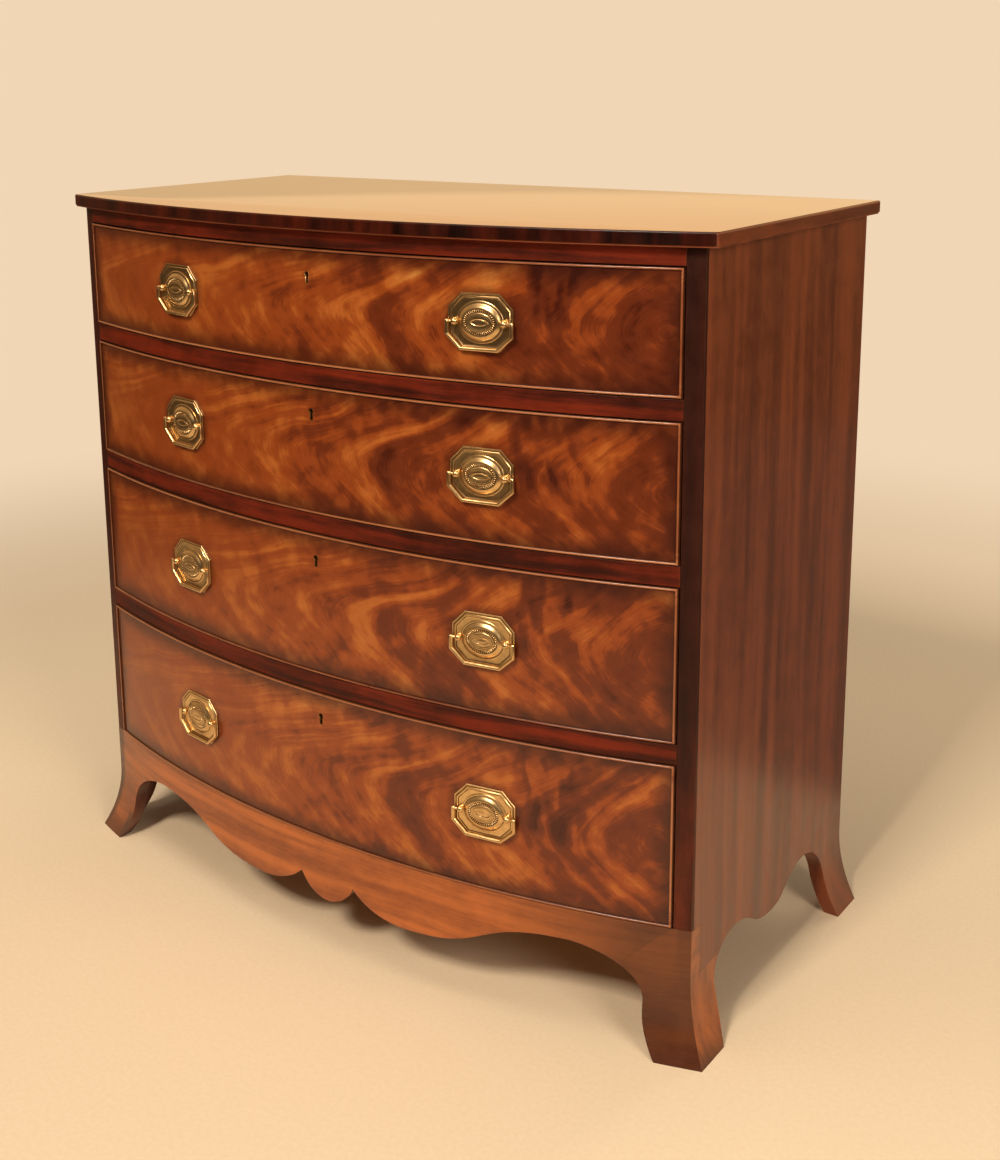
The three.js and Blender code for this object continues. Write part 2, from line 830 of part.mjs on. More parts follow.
// Lock bolt with a wide foot that keeps it in the case, drawn back as in an unlocked drawer
function lockBolt(height) {
  const top = height - lockTopDrop;
  const middle = lockMiddleY();
  const front = middle - boltThickness / 2;
  const back = middle + boltThickness / 2;
  const low = top - boltHeight;
  return block(-boltWidth / 2, boltWidth / 2, front, back, low, top)
    .add(block(-boltFootWidth / 2, boltFootWidth / 2, front, back, low, low + boltFootHeight));
}

// An octagon with a given top edge and side edge, shrunk evenly by an inset
function octagon(inset) {
  const halfWidth = plateWidth / 2 - inset;
  const halfHeight = plateHeight / 2 - inset;
  const topHalf = plateTopLength / 2 - inset / 2;
  const sideHalf = plateSideLength / 2 - inset / 2;
  return [
    [topHalf, halfHeight], [halfWidth, sideHalf], [halfWidth, -sideHalf], [topHalf, -halfHeight],
    [-topHalf, -halfHeight], [-halfWidth, -sideHalf], [-halfWidth, sideHalf], [-topHalf, halfHeight],
  ];
}

// A round form about the plate's normal from a profile of radius and height, stretched to an oval
function oval(profile, width, height, base, steps) {
  const lathe = new THREE.LatheGeometry(profile.map(([r, h]) => new THREE.Vector2(r, h)), steps);
  lathe.rotateX(Math.PI);
  lathe.scale(width / 2, 1, height / 2);
  lathe.translate(0, -base, 0);
  return solidOf(lathe);
}

// Low dome on the plate; its rim is sunk into the plate
function dome() {
  const base = plateThickness + plateStep;
  const profile = [[0, 0 - plateStep], [1, 0 - plateStep]];
  for (let ring = 0; ring < domeRings; ring += 1) {
    const turn = Math.PI / 2 * ring / domeRings;
    profile.push([Math.cos(turn), domeRise * Math.sin(turn)]);
  }
  profile.push([0, domeRise]);
  return oval(profile, domeWidth, domeHeight, base, domeSteps);
}

// Post with a round head that rises straight out of the plate
function post(side) {
  const slant = postHeadRadius * Math.SQRT1_2;
  const profile = [
    [0, 0], [slant, 0], [slant, postReach - slant], [postHeadRadius, postReach],
    [slant, postReach + slant], [0, postReach + postHeadRadius],
  ];
  const lathe = new THREE.LatheGeometry(profile.map(([r, h]) => new THREE.Vector2(r, h)), postSides);
  lathe.rotateX(Math.PI);
  lathe.translate(side * postSpacing / 2, 0, 0);
  return solidOf(lathe);
}

function shankAndNut(side) {
  const nutFace = frontThickness + nutGap;
  const shank = new THREE.CylinderGeometry(shankRadius, shankRadius, nutFace + nutThickness, shankSides);
  const x = side * postSpacing / 2;
  shank.translate(x, (nutFace + nutThickness) / 2, 0);
  const half = nutWidth / 2;
  const nut = block(x - half, x + half, nutFace, nutFace + nutThickness / 2, -half, half);
  return solidOf(shank).add(nut);
}

// Handle plate in its own frame: x along the front, -y outwards, origin on the face behind its middle
function handlePlate() {
  const back = -fitGap;
  const solids = [
    prismY(octagon(0), back - plateThickness, back),
    prismY(octagon(plateStepInset), back - plateThickness - plateStep, back),
    dome(),
    post(-1), post(1),
    shankAndNut(-1), shankAndNut(1),
  ];
  let plate = joined(solids);
  for (const side of [-1, 1]) {
    const bore = new THREE.CylinderGeometry(
      bailPinRadius + pinClearance, bailPinRadius + pinClearance, bailPinBite * 2, postSides);
    bore.rotateZ(Math.PI / 2);
    bore.translate(side * (postSpacing / 2 + postHeadRadius), -postReach, 0);
    plate = plate.subtract(solidOf(bore));
  }
  return plate;
}

// Bail in the plate's frame, its pins in the post heads: two arms, two slanted lengths and the bar
function bail() {
  const pinIn = postSpacing / 2 + postHeadRadius - bailPinBite + pinClearance;
  const shoulder = bailHalfWidth - bailRodRadius;
  const stations = [
    [[pinIn, 0], bailPinRadius], [[shoulder - pinClearance, 0], bailPinRadius],
    [[shoulder, 0], bailRodRadius], [[bailHalfWidth, 0], bailRodRadius],
    [[bailHalfWidth, -bailArmDrop], bailRodRadius], [[bailBarHalf, -bailDrop], bailRodRadius],
  ];
  const left = stations.map(([[x, z], radius]) => [[-x, z], radius]);
  const path = [...left, ...stations.reverse()];
  const rings = path.map(([point, radius], index) => rodRing(path, index, point, radius));
  return lofted(rings);
}

// One mitred ring of a rod that runs through a list of stations in the plane of the bail
function rodRing(path, index, [x, z], radius) {
  const before = path[Math.max(index - 1, 0)][0];
  const after = path[Math.min(index + 1, path.length - 1)][0];
  const into = direction(before, [x, z]) ?? direction([x, z], after);
  const out = direction([x, z], after) ?? into;
  const across = [-(into[1] + out[1]), into[0] + out[0]];
  const length = Math.hypot(...across);
  const cosine = length / 2;
  const ring = [];
  for (let step = 0; step < bailSides; step += 1) {
    const turn = 2 * Math.PI * (step + 1 / 2) / bailSides;
    const side = radius * Math.cos(turn) / cosine;
    ring.push([
      x + across[0] / length * side, -postReach + radius * Math.sin(turn), z + across[1] / length * side,
    ]);
  }
  return ring;
}

function direction(from, to) {
  const run = [to[0] - from[0], to[1] - from[1]];
  const length = Math.hypot(...run);
  return length > 0 ? [run[0] / length, run[1] / length] : null;
}

// One handle, turned to the tangent of the bow, with its bail on its own group
function handle(name, side, height) {
  const group = new THREE.Group();
  group.position.set(side * handleX(), bowY(handleX()), height / 2);
  group.rotation.z = side * handleAngle;
  const where = side < 0 ? "left" : "right";
  group.add(named(`${name}_plate_${where}`, handlePlate(), materials.brass));
  group.add(named(`${name}_bail_${where}`, bail(), materials.brass));
  return group;
}

// One drawer, its origin on the line of its lower bead
function drawer(row) {
  const height = drawerHeights[row];
  const name = `drawer_${row + 1}`;
  const group = new THREE.Group();
  group.position.z = openingFloors[row] + drawerGap;
  const side = drawerSide(height);
  group.add(
    named(`${name}_front`, drawerFront(height), materials.flame),
    named(`${name}_side_left`, mirrored(side), materials.oak),
    named(`${name}_side_right`, side, materials.oak),
    named(`${name}_back`, drawerBack(height), materials.oak),
    named(`${name}_bottom`, drawerBottom(), materials.oak),
    named(`${name}_escutcheon`, escutcheon(height), materials.brass),
    named(`${name}_lock_case`, lockCase(height), materials.steel),
    named(`${name}_lock_bolt`, lockBolt(height), materials.steel),
    handle(name, -1, height),
    handle(name, 1, height),
  );
  return group;
}

function caseGroup() {
  const group = new THREE.Group();
  const side = sideBoard();
  const foot = frontFoot();
  group.add(
    named("top_board", topBoard(), materials.mahogany),
    named("side_left", mirrored(side), materials.sideMahogany),
    named("side_right", side, materials.sideMahogany),
    named("back_boards", backBoards(), materials.pine),
    named("case_bottom", caseBottomSolid(0), materials.pine),
    named("top_rail", topRail(), materials.mahogany),
    named("apron", apron(), materials.apronMahogany),
    named("foot_front_left", mirrored(foot), materials.apronMahogany),
    named("foot_front_right", foot, materials.apronMahogany),
  );
  openingFloors.slice(0, -1).forEach((floor, row) => {
    group.add(named(`divider_${row + 1}`, divider(row), materials.mahogany));
  });
  return group;
}

const chest = new THREE.Group();
chest.position.y = (bowRise + topFrontOverhang - caseDepth) / 2;
chest.add(caseGroup());
drawerHeights.forEach((height, row) => chest.add(drawer(row)));

export default chest;
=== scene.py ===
"""Bow front chest of four graduated drawers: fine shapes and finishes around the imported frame."""

import math
from functools import partial

import bmesh
import bpy
from bpy.props import FloatProperty, FloatVectorProperty, IntProperty, PointerProperty
from bpy.types import Operator, Panel, PropertyGroup
from mathutils import Matrix, Vector


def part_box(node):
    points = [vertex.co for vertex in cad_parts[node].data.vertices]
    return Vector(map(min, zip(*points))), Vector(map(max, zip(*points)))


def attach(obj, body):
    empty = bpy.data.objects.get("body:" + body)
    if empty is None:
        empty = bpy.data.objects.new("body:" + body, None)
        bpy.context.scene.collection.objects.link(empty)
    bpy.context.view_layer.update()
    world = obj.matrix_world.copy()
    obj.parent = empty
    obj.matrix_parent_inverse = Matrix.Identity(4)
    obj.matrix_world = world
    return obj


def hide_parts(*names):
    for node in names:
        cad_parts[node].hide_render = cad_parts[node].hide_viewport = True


bl_info = {
    "name": "Bow Front Chest",
    "version": (1, 0, 0),
    "blender": (4, 5, 0),
    "location": "View3D > Sidebar > Chest",
    "description": "Dresses a packed bow front chest of drawers with fine shapes and polished finishes",
    "category": "Object",
}

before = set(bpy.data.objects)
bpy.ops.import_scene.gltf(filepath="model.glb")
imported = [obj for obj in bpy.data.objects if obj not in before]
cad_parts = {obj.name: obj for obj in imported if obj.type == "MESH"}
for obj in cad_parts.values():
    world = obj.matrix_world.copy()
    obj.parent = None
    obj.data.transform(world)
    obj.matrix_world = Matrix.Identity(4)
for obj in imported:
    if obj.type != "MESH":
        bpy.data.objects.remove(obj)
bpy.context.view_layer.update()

MM = 0.001
SIDES = (-1, 1)
WHERE = {-1: "left", 1: "right"}
ROWS = (1, 2, 3, 4)

# Places taken from the frame
top_low, top_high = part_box("top_board")
apron_low, apron_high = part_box("apron")
back_low, back_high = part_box("back_boards")

FIT_GAP = 0.3 * MM
TOP_OVERHANG = 17 * MM
TOP_FRONT_OVERHANG = 12 * MM
CASE_HALF = top_high.x - TOP_OVERHANG
OPENING_HALF = back_high.x + FIT_GAP
BOW_RISE = 83 * MM
BOW_RADIUS = (CASE_HALF ** 2 + BOW_RISE ** 2) / (2 * BOW_RISE)
BOW_CENTRE = apron_low.y + BOW_RADIUS
CASE_FRONT = apron_low.y + BOW_RISE
CASE_BACK = back_high.y
CASE_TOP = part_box("side_right")[1].z
PLINTH = apron_high.z

# Apron, feet and side arches, outwards from the middle and upwards from the floor
APRON_THICK = 22 * MM
PEAK_INSET, PEAK_HEIGHT = 148 * MM, 123.5 * MM
LOBE_OUT, LOBE_HEIGHT = 128 * MM, 76 * MM
CUSP_OUT, CUSP_HEIGHT = 45 * MM, 107 * MM
MITRE_REACH, MITRE_FALL = 69 * MM, 65 * MM
FOOT_FRONT, FOOT_SIDE, REAR_FOOT = 53 * MM, 57 * MM, 64 * MM
FOOT_THICK, FOOT_BLOCK = 22 * MM, 30 * MM
FOOT_WAIST, FOOT_JOIN = 61 * MM, 100 * MM
FRONT_KICK, REAR_KICK = 24 * MM, 5 * MM
SIDE_FLARE, FRONT_FLARE, FLARE_HEIGHT = 27 * MM, 18 * MM, 100 * MM
SIDE_PEAK_FRONT, SIDE_PEAK_REAR, SIDE_PEAK_HEIGHT = 108 * MM, 130 * MM, 116 * MM
SIDE_DROP_OUT, SIDE_DROP_HEIGHT = 222 * MM, 84.5 * MM
ROUND_SHARE, REAR_ROUND_SHARE, SWING_SHARE = 0.75, 0.5, 0.55
BOTTOM_THICK = 18 * MM
STILE_DEPTH = 5 * MM
OVERRUN = 4 * MM

# Rails and what stands on the dust boards
RAIL_THICK, RAIL_DEPTH = 24.5 * MM, 62 * MM
TOP_RAIL_DEPTH = 45 * MM
DUST_THICK, HOUSING_DEPTH, HOUSING_SET_BACK = 13 * MM, 6 * MM, 26 * MM
STOP_LENGTH, STOP_DEPTH, STOP_HEIGHT, STOP_OUT = 44 * MM, 14 * MM, 5 * MM, 330 * MM
BACK_BOARDS = 6
GROOVE_DEPTH = 1.5 * MM

# Drawer fronts and locks
FRONT_THICK = 22 * MM
BEAD_ROOT = 2 * MM
LOCK_WIDTH, LOCK_HEIGHT, LOCK_DEPTH, LOCK_DROP = 60 * MM, 46 * MM, 11 * MM, 1 * MM
KEY_DROP, KEY_HEAD, KEY_SLOT, KEY_LENGTH = 32 * MM, 3 * MM, 3.6 * MM, 11 * MM
KEY_WALL, KEY_DEPTH = 1 * MM, 4 * MM
MORTICE_CLEARANCE, MORTICE_DEPTH = 3 * MM, 9 * MM

# Handles, in the plate's own frame: x along the front, -y outwards, z up
HANDLE_OUT = 247 * MM
PLATE_WIDTH, PLATE_HEIGHT = 83 * MM, 67 * MM
PLATE_TOP, PLATE_SIDE = 49 * MM, 32 * MM
PLATE_FIELD = 2.5 * MM
DOME_WIDTH, DOME_HEIGHT, DOME_SLIM = 60 * MM, 50 * MM, 6.6 * MM
EYE_WIDTH, EYE_HEIGHT = 27 * MM, 8.6 * MM
RAY_SHARE = 0.632
POST_SPACING, POST_HEAD = 63 * MM, 4.5 * MM
SHANK_RADIUS, NUT_WIDTH, NUT_THICK, NUT_GAP = 2.4 * MM, 10 * MM, 4 * MM, 1 * MM
BAIL_ROD, BAIL_PIN, PIN_CLEARANCE, PIN_BITE = 2.3 * MM, 1.5 * MM, 0.5 * MM, 2.4 * MM
BAIL_CLEARANCE = 0.7 * MM
POST_REACH = PLATE_FIELD + BAIL_CLEARANCE + BAIL_ROD
BAIL_HALF, BAIL_DROP = PLATE_WIDTH / 2, PLATE_HEIGHT / 2 - BAIL_ROD
BAIL_ARM, BAIL_BAR = (PLATE_SIDE - BAIL_ROD) / 2, (PLATE_TOP - BAIL_ROD) / 2

# The photograph's frame and where its camera stood
IMAGE_HEIGHT = 1160
SENSOR = 36
FOCAL_PIXELS = 1507.57
SHIFT_PIXELS = (31.06, -187.12)
CAMERA_PLACE = (1.2388, -1.6236, 1.1605)
CAMERA_YAW, CAMERA_PITCH, CAMERA_ROLL = 36.122, -12.076, -0.589
FLOOR_RADIUS = 3.4

# Steps of curved shapes
FLARE_STEPS, BOW_STEPS, EDGE_STEPS, OVAL_STEPS = 24, 24, 6, 96

# Faces narrower than this aren't broad, and their points may be hollow or proud
BROAD_FACE = 0.6 * MM
# The painted shade along the rim of a drawer's veneer is noted at these distances from the bead
RIM_MARGINS = (4 * MM, 10 * MM, 18 * MM, 28 * MM, 45 * MM)
# Where the flame figure has its eye and the dark curls beside it, from the front's middle
EYE_OUT, CURLS_OUT = 0.478, 0.332
LAMP_TINT = "#fff3e2"
# How dark the stiles grow and where that starts, in plinth heights above the floor
STILE_DARKENING, STILE_CLEAR = 0.7, 1.4
TOE_DARKENING, TOE_HEIGHT = 0.75, 30 * MM
# Painted shade over the front of the right front foot and towards the right end of the apron
RIGHT_FOOT_PAINTED_SHADE, APRON_PAINTED_SHADE = 0.66, 0.75
APRON_DARK_FROM, APRON_DARK_OVER = 240 * MM, 200 * MM


def linear(text):
    """An sRGB hex colour as linear red, green, blue."""
    channels = [int(text[place:place + 2], 16) / 255 for place in (1, 3, 5)]
    return [c / 12.92 if c <= 0.04045 else ((c + 0.055) / 1.055) ** 2.4 for c in channels]


def colour(value):
    """A colour with alpha, from an sRGB hex text or from linear red, green, blue."""
    return (*(linear(value) if isinstance(value, str) else value), 1.0)


def length(name, description, default):
    return FloatProperty(name=name, description=description, default=default, unit="LENGTH", precision=5)


def tint(name, description, default):
    return FloatVectorProperty(
        name=name, description=description, default=linear(default), size=3, subtype="COLOR", min=0, max=1)


class ChestSizes(PropertyGroup):
    """Fine sizes of the chest that can be changed without touching the frame."""

    bead_width: length("Cock bead width", "Thickness of the bead round each drawer front", 3 * MM)
    bead_proud: length("Cock bead proud", "How far the bead stands out from the veneer", 2.5 * MM)
    arris: length("Arris", "Rounding of the edges of rails and boards", 0.7 * MM)
    top_arris: length("Top arris", "Rounding of the upper edge of the top", 2.4 * MM)
    top_corner: length("Top corner", "Rounding of the front corners of the top in plan", 6 * MM)
    string_height: length("String height", "Height of the pale string under the top's edge", 2.2 * MM)
    string_inset: length("String inset", "How far the string lies behind the edge", 1.2 * MM)
    bow_columns: IntProperty(
        name="Bow columns", description="Columns across the bow of each curved piece", default=128, min=16)
    ray_count: IntProperty(
        name="Rays", description="Rays round the oval of each handle plate", default=40, min=8)
    ray_length: length("Ray length", "Length of a ray on the handle's oval", 3.6 * MM)
    ray_width: length("Ray width", "Width of a ray on the handle's oval", 1.6 * MM)


class ChestFinishes(PropertyGroup):
    """Colours of the chest's finishes."""

    flame_light: tint("Flame light", "Bright figure of the crotch veneer", "#ac5d24")
    flame_mid: tint("Flame middle", "Middle tone of the crotch veneer", "#8c3f15")
    flame_dark: tint("Flame dark", "Dark figure of the crotch veneer", "#3d1207")
    rail_light: tint("Rail light", "Light grain of the rails", "#72230c")
    rail_dark: tint("Rail dark", "Dark grain of the rails", "#320f06")
    side_light: tint("Side light", "Light grain of the side boards", "#874222")
    side_dark: tint("Side dark", "Dark grain of the side boards", "#5b2710")
    apron_light: tint("Apron light", "Light grain of the apron and feet", "#bb642a")
    apron_dark: tint("Apron dark", "Dark grain of the apron and feet", "#803c12")
    brass: tint("Brass", "Polished brass of the handles", "#e6c18a")
    floor: tint("Floor", "Plain floor under the chest", "#f5dfbf")
    background: tint("Background", "Plain background behind the chest", "#f1d6b5")


def bow_y(x, inset=0.0):
    """y of the bowed face at x, or of a surface that lies inset behind it."""
    radius = BOW_RADIUS - inset
    return BOW_CENTRE - math.sqrt(radius * radius - x * x)


def arc(x):
    """Length along the bow from its middle to x."""
    return BOW_RADIUS * math.asin(x / BOW_RADIUS)


def spread(low, high, steps):
    return [low + (high - low) * step / steps for step in range(steps + 1)]


def clamped(value):
    return max(0.0, min(1.0, value))


def cubic(start, leave, arrive, end, steps=16):
    """Points of a cubic curve after its start, up to and including its end."""
    points = []
    for share in spread(0, 1, steps)[1:]:
        rest = 1 - share
        weights = (rest ** 3, 3 * rest * rest * share, 3 * rest * share * share, share ** 3)
        corners = (start, leave, arrive, end)
        points.append(tuple(sum(w * c[axis] for w, c in zip(weights, corners)) for axis in (0, 1)))
    return points


def toe_line(waist, kick, steps=12):
    """Inner edge of a foot from the floor to its waist, kicked outwards at the floor."""
    return [(waist + kick * (1 - z / FOOT_WAIST) ** 2, z) for z in spread(0, FOOT_WAIST, steps)]


def shoulder(start, end, share=ROUND_SHARE):
    """Leaves upright and arrives level, as an arch does beside a foot."""
    leave = (start[0], start[1] + (end[1] - start[1]) * share)
    arrive = (end[0] + (start[0] - end[0]) * (1 - share), end[1])
    return cubic(start, leave, arrive, end)


def swing(start, end):
    """Leaves and arrives level."""
    run = (end[0] - start[0]) * SWING_SHARE
    return cubic(start, (start[0] + run, start[1]), (end[0] - run, end[1]), end)


def apron_edge():
    """Right half of the lower edge seen from the front, from the arch beside the foot to the middle."""
    waist = (CASE_HALF - FOOT_FRONT, FOOT_WAIST)
    peak = (CASE_HALF - PEAK_INSET, PEAK_HEIGHT)
    lobe = (LOBE_OUT, LOBE_HEIGHT)
    cusp = (CUSP_OUT, CUSP_HEIGHT)
    middle = (0.0, LOBE_HEIGHT)
    run, rise = lobe[0] - cusp[0], cusp[1] - lobe[1]
    return [
        waist,
        *shoulder(waist, peak),
        *swing(peak, lobe),
        *cubic(lobe, (lobe[0] - run / 2, lobe[1]), (cusp[0] + run / 6, cusp[1] - rise / 2), cusp),
        *cubic(cusp, (cusp[0] - cusp[0] / 6, cusp[1] - rise / 2), (cusp[0] / 2, middle[1]), middle),
    ]


def front_silhouette():
    """Everything of the chest seen from the front, down to its lower edge."""
    right = [*toe_line(CASE_HALF - FOOT_FRONT, FRONT_KICK)[:-1], *apron_edge()]
    left = [(-x, z) for x, z in reversed(right[:-1])]
    reach = CASE_HALF + SIDE_FLARE + OVERRUN
    return [(reach, 0.0), *right, *left, (-reach, 0.0), (-reach, CASE_TOP), (reach, CASE_TOP)]


def side_silhouette():
    """Everything of a side seen from the side, down to the arch between its feet."""
    front = CASE_FRONT
    waist = (front + FOOT_SIDE, FOOT_WAIST)
    peak = (front + SIDE_PEAK_FRONT, SIDE_PEAK_HEIGHT)
    drop = (front + SIDE_DROP_OUT, SIDE_DROP_HEIGHT)
    rear_peak = (CASE_BACK - SIDE_PEAK_REAR, SIDE_PEAK_HEIGHT)
    rear_waist = (CASE_BACK - REAR_FOOT, FOOT_WAIST)
    start = apron_low.y - FRONT_FLARE - OVERRUN
    return [
        (start, 0.0),
        *toe_line(waist[0], -FRONT_FLARE),
        *shoulder(waist, peak),
        *swing(peak, drop),
        *swing(drop, rear_peak),
        *reversed(shoulder(rear_waist, rear_peak, REAR_ROUND_SHARE)[:-1]),
        *reversed(toe_line(rear_waist[0], REAR_KICK)),
        (CASE_BACK, 0.0),
        (CASE_BACK, CASE_TOP),
        (start, CASE_TOP),
    ]


def flare(z):
    """How far a foot has swept outwards at a height, as a share of its full flare."""
    return 0.0 if z >= FLARE_HEIGHT else (1 - z / FLARE_HEIGHT) ** 2


# Meshes
def linked(name, data):
    """A new object at the origin of the scene."""
    obj = bpy.data.objects.new(name, data)
    bpy.context.scene.collection.objects.link(obj)
    return obj


def from_edit(name, made):
    """A new object from an edit mesh, which is freed."""
    mesh = bpy.data.meshes.new(name)
    made.to_mesh(mesh)
    made.free()
    return linked(name, mesh)


def piece(name, points, faces):
    """A new object with its place in its mesh and its faces turned outwards."""
    mesh = bpy.data.meshes.new(name)
    mesh.from_pydata([tuple(p) for p in points], [], faces)
    made = bmesh.new()
    made.from_mesh(mesh)
    bmesh.ops.remove_doubles(made, verts=made.verts, dist=1e-7)
    bmesh.ops.recalc_face_normals(made, faces=made.faces)
    made.to_mesh(mesh)
    made.free()
    return linked(name, mesh)


def loft(name, rings, closed=False):
    """A skin through rings of equal length: capped at both ends, or joined into a closed loop."""
    count, levels = len(rings[0]), len(rings)
    points = [point for ring in rings for point in ring]
    faces = []
    for level in range(levels if closed else levels - 1):
        above = (level + 1) % levels
        for step in range(count):
            beside = (step + 1) % count
            faces.append((level * count + step, level * count + beside, above * count + beside,
                          above * count + step))
    if not closed:
        faces.append(tuple(range(count)))
        faces.append(tuple(range((levels - 1) * count, levels * count)))
    return piece(name, points, faces)


def block(name, x0, x1, y0, y1, z0, z1):
    ring = [(x0, y0), (x1, y0), (x1, y1), (x0, y1)]
    return loft(name, [[(x, y, z) for x, y in ring] for z in (z0, z1)])


def prism_front(name, outline, y0, y1):
    """An outline seen from the front (x, z), from front to back."""
    return loft(name, [[(x, y, z) for x, z in outline] for y in (y0, y1)])


def prism_side(name, outline, x0, x1):
    """An outline seen from the side (y, z), from left to right."""
    return loft(name, [[(x, y, z) for y, z in outline] for x in (x0, x1)])


def settle(obj):
    """Applies every modifier to the object's mesh."""
    graph = bpy.context.evaluated_depsgraph_get()
    old = obj.data
    mesh = bpy.data.meshes.new_from_object(obj.evaluated_get(graph), preserve_all_data_layers=True,
                                           depsgraph=graph)
    obj.modifiers.clear()
    obj.data = mesh
    mesh.name = obj.name
    if old.users == 0:
        bpy.data.meshes.remove(old)
    return obj


def carve(obj, cutter, operation="DIFFERENCE"):
    """Cuts the object with another one, or keeps what they share, and removes the cutter."""
    cut = obj.modifiers.new("cut", "BOOLEAN")
    cut.object = cutter
    cut.operation = operation
    cut.solver = "MANIFOLD"
    settle(obj)
    bpy.data.objects.remove(cutter)
    return obj


def joined(name, objects):
    """One object of several loose pieces."""
    made = bmesh.new()
    for obj in objects:
        made.from_mesh(obj.data)
        bpy.data.objects.remove(obj)
    return from_edit(name, made)


def mirrored(obj, name):
    """The left piece from the right one."""
    made = bmesh.new()
    made.from_mesh(obj.data)
    bmesh.ops.scale(made, vec=(-1, 1, 1), verts=made.verts)
    bmesh.ops.reverse_faces(made, faces=made.faces)
    return from_edit(name, made)


def copied(node, name):
    """A merged copy of a frame node."""
    made = bmesh.new()
    made.from_mesh(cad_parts[node].data)
    bmesh.ops.remove_doubles(made, verts=made.verts, dist=1e-5)
    bmesh.ops.dissolve_limit(
        made, angle_limit=math.radians(0.5), verts=made.verts, edges=made.edges, delimit={"NORMAL"})
    return from_edit(name, made)


def soften(obj, width, segments=2, angle=35):
    """Rounds the sharp edges and shades the rest smooth."""
    bevel = obj.modifiers.new("arris", "BEVEL")
    settings = {"width": width, "segments": segments, "limit_method": "ANGLE",
                "angle_limit": math.radians(angle), "harden_normals": True, "use_clamp_overlap": True}
    for name, value in settings.items():
        setattr(bevel, name, value)
    return settle(smooth(obj, 50))


def smooth(obj, angle=35):
    obj.data.shade_smooth()
    obj.data.set_sharp_from_angle(angle=math.radians(angle))
    return obj


def note(obj, name, values):
    """Writes one number or one vector for each point of the mesh, for its material to read."""
    single = isinstance(values[0], float)
    attribute = obj.data.attributes.new(name, "FLOAT" if single else "FLOAT_VECTOR", "POINT")
    if single:
        attribute.data.foreach_set("value", values)
    else:
        attribute.data.foreach_set("vector", [c for value in values for c in value])


def lay_grain(obj, place, seed, name="grain"):
    """Grain coordinates of each point: along the grain, across it, and through the board."""
    shift = Vector((0.37 * seed, 0.71 * seed, 1.93 * seed))
    note(obj, name, [Vector(place(v.co)) + shift for v in obj.data.vertices])


def along_bow(co):
    return (arc(max(-0.6, min(0.6, co.x))), co.z, co.y - bow_y(co.x))


def along_x(co):
    return (co.x, co.y, co.z)


def along_y(co):
    return (co.y, co.z, co.x)


def along_z(co):
    return (co.z, co.y, co.x)


def upright_x(co):
    return (co.z, co.x, co.y)


def mark_hollows(obj):
    """Notes how hollow or proud the surface is at each point, which the materials darken or make paler;
    broad faces are level.
    """
    mesh = obj.data
    sums = [0.0] * len(mesh.vertices)
    counts = [0] * len(mesh.vertices)
    for edge in mesh.edges:
        a, b = edge.vertices
        run = mesh.vertices[b].co - mesh.vertices[a].co
        if run.length < 1e-7:
            continue
        way = run.normalized()
        sums[a] += mesh.vertices[a].normal.dot(way)
        sums[b] -= mesh.vertices[b].normal.dot(way)
        counts[a] += 1
        counts[b] += 1
    for face in mesh.polygons:
        points = [mesh.vertices[index].co for index in face.vertices]
        rim = sum((b - a).length for a, b in zip(points, [*points[1:], points[0]]))
        if face.area > rim * BROAD_FACE:
            for index in face.vertices:
                sums[index] = 0.0
    note(obj, "hollow", [s / c if c else 0.0 for s, c in zip(sums, counts)])


def dress(obj, material, body, slot, *nodes):
    """Gives a finished piece its material and its body, and hides the frame nodes that it stands for; the
    slot is not used.
    """
    if not obj.data.materials:
        obj.data.materials.append(materials[material])
    obj.data.materials[0] = materials[material]
    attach(obj, body)
    if nodes:
        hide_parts(*nodes)


def finish(obj, place, seed, material, body, slot, *nodes):
    """Lays a wooden piece's grain, marks its hollows and dresses it."""
    lay_grain(obj, place, seed)
    mark_hollows(obj)
    dress(obj, material, body, slot, *nodes)


# Materials
ATTRIBUTE, NOISE, RAMP = "ShaderNodeAttribute", "ShaderNodeTexNoise", "ShaderNodeValToRGB"
RANGE, MIX, PRINCIPLED = "ShaderNodeMapRange", "ShaderNodeMix", "ShaderNodeBsdfPrincipled"
SPLIT, GATHER, BUMP = "ShaderNodeSeparateXYZ", "ShaderNodeCombineXYZ", "ShaderNodeBump"
# Kinds with the settings that their uses share
PLUS, LESS, TIMES, OVER, TIMES_PLUS, ROOT, SIZE, MOST = (
    ("ShaderNodeMath", {"operation": operation}) for operation in (
        "ADD", "SUBTRACT", "MULTIPLY", "DIVIDE", "MULTIPLY_ADD", "SQRT", "ABSOLUTE", "MAXIMUM"))
APART, SCALED, MOVED = (("ShaderNodeVectorMath", {"operation": operation})
                        for operation in ("SUBTRACT", "MULTIPLY", "MULTIPLY_ADD"))
LENGTH = ("ShaderNodeVectorMath", {"operation": "LENGTH", "out": "Value"})
EASED = (RANGE, {"interpolation_type": "SMOOTHSTEP"})
BLEND = (MIX, {"data_type": "RGBA", "out": 2})
HALF = (0.5, 0.5, 0.5)

# Light and dark bands of the crotch figure: metres left of the eye, and the tone there
FLAME_BANDS = (
    (0.0, 0.3), (0.055, 0.3), (0.072, 0.4), (0.084, 0.54), (0.098, 0.52), (0.104, 0.4), (0.111, 0.6),
    (0.123, 0.5), (0.136, 0.32), (0.146, 0.36), (0.156, 0.5), (0.17, 0.32), (0.188, 0.36), (0.203, 0.52),
    (0.243, 0.5), (0.273, 0.56), (0.298, 0.46), (0.315, 0.64), (0.33, 0.46), (0.345, 0.32), (0.37, 0.28),
    (0.383, 0.46), (0.396, 0.68), (0.412, 0.6), (0.435, 0.52), (0.475, 0.44), (0.515, 0.54), (0.565, 0.6),
    (0.625, 0.54), (0.7, 0.6), (0.9, 0.56))
FLAME_REACH = 0.9
# How softly the arcs bend over the axis of the figure
FLAME_ROUND = 0.04


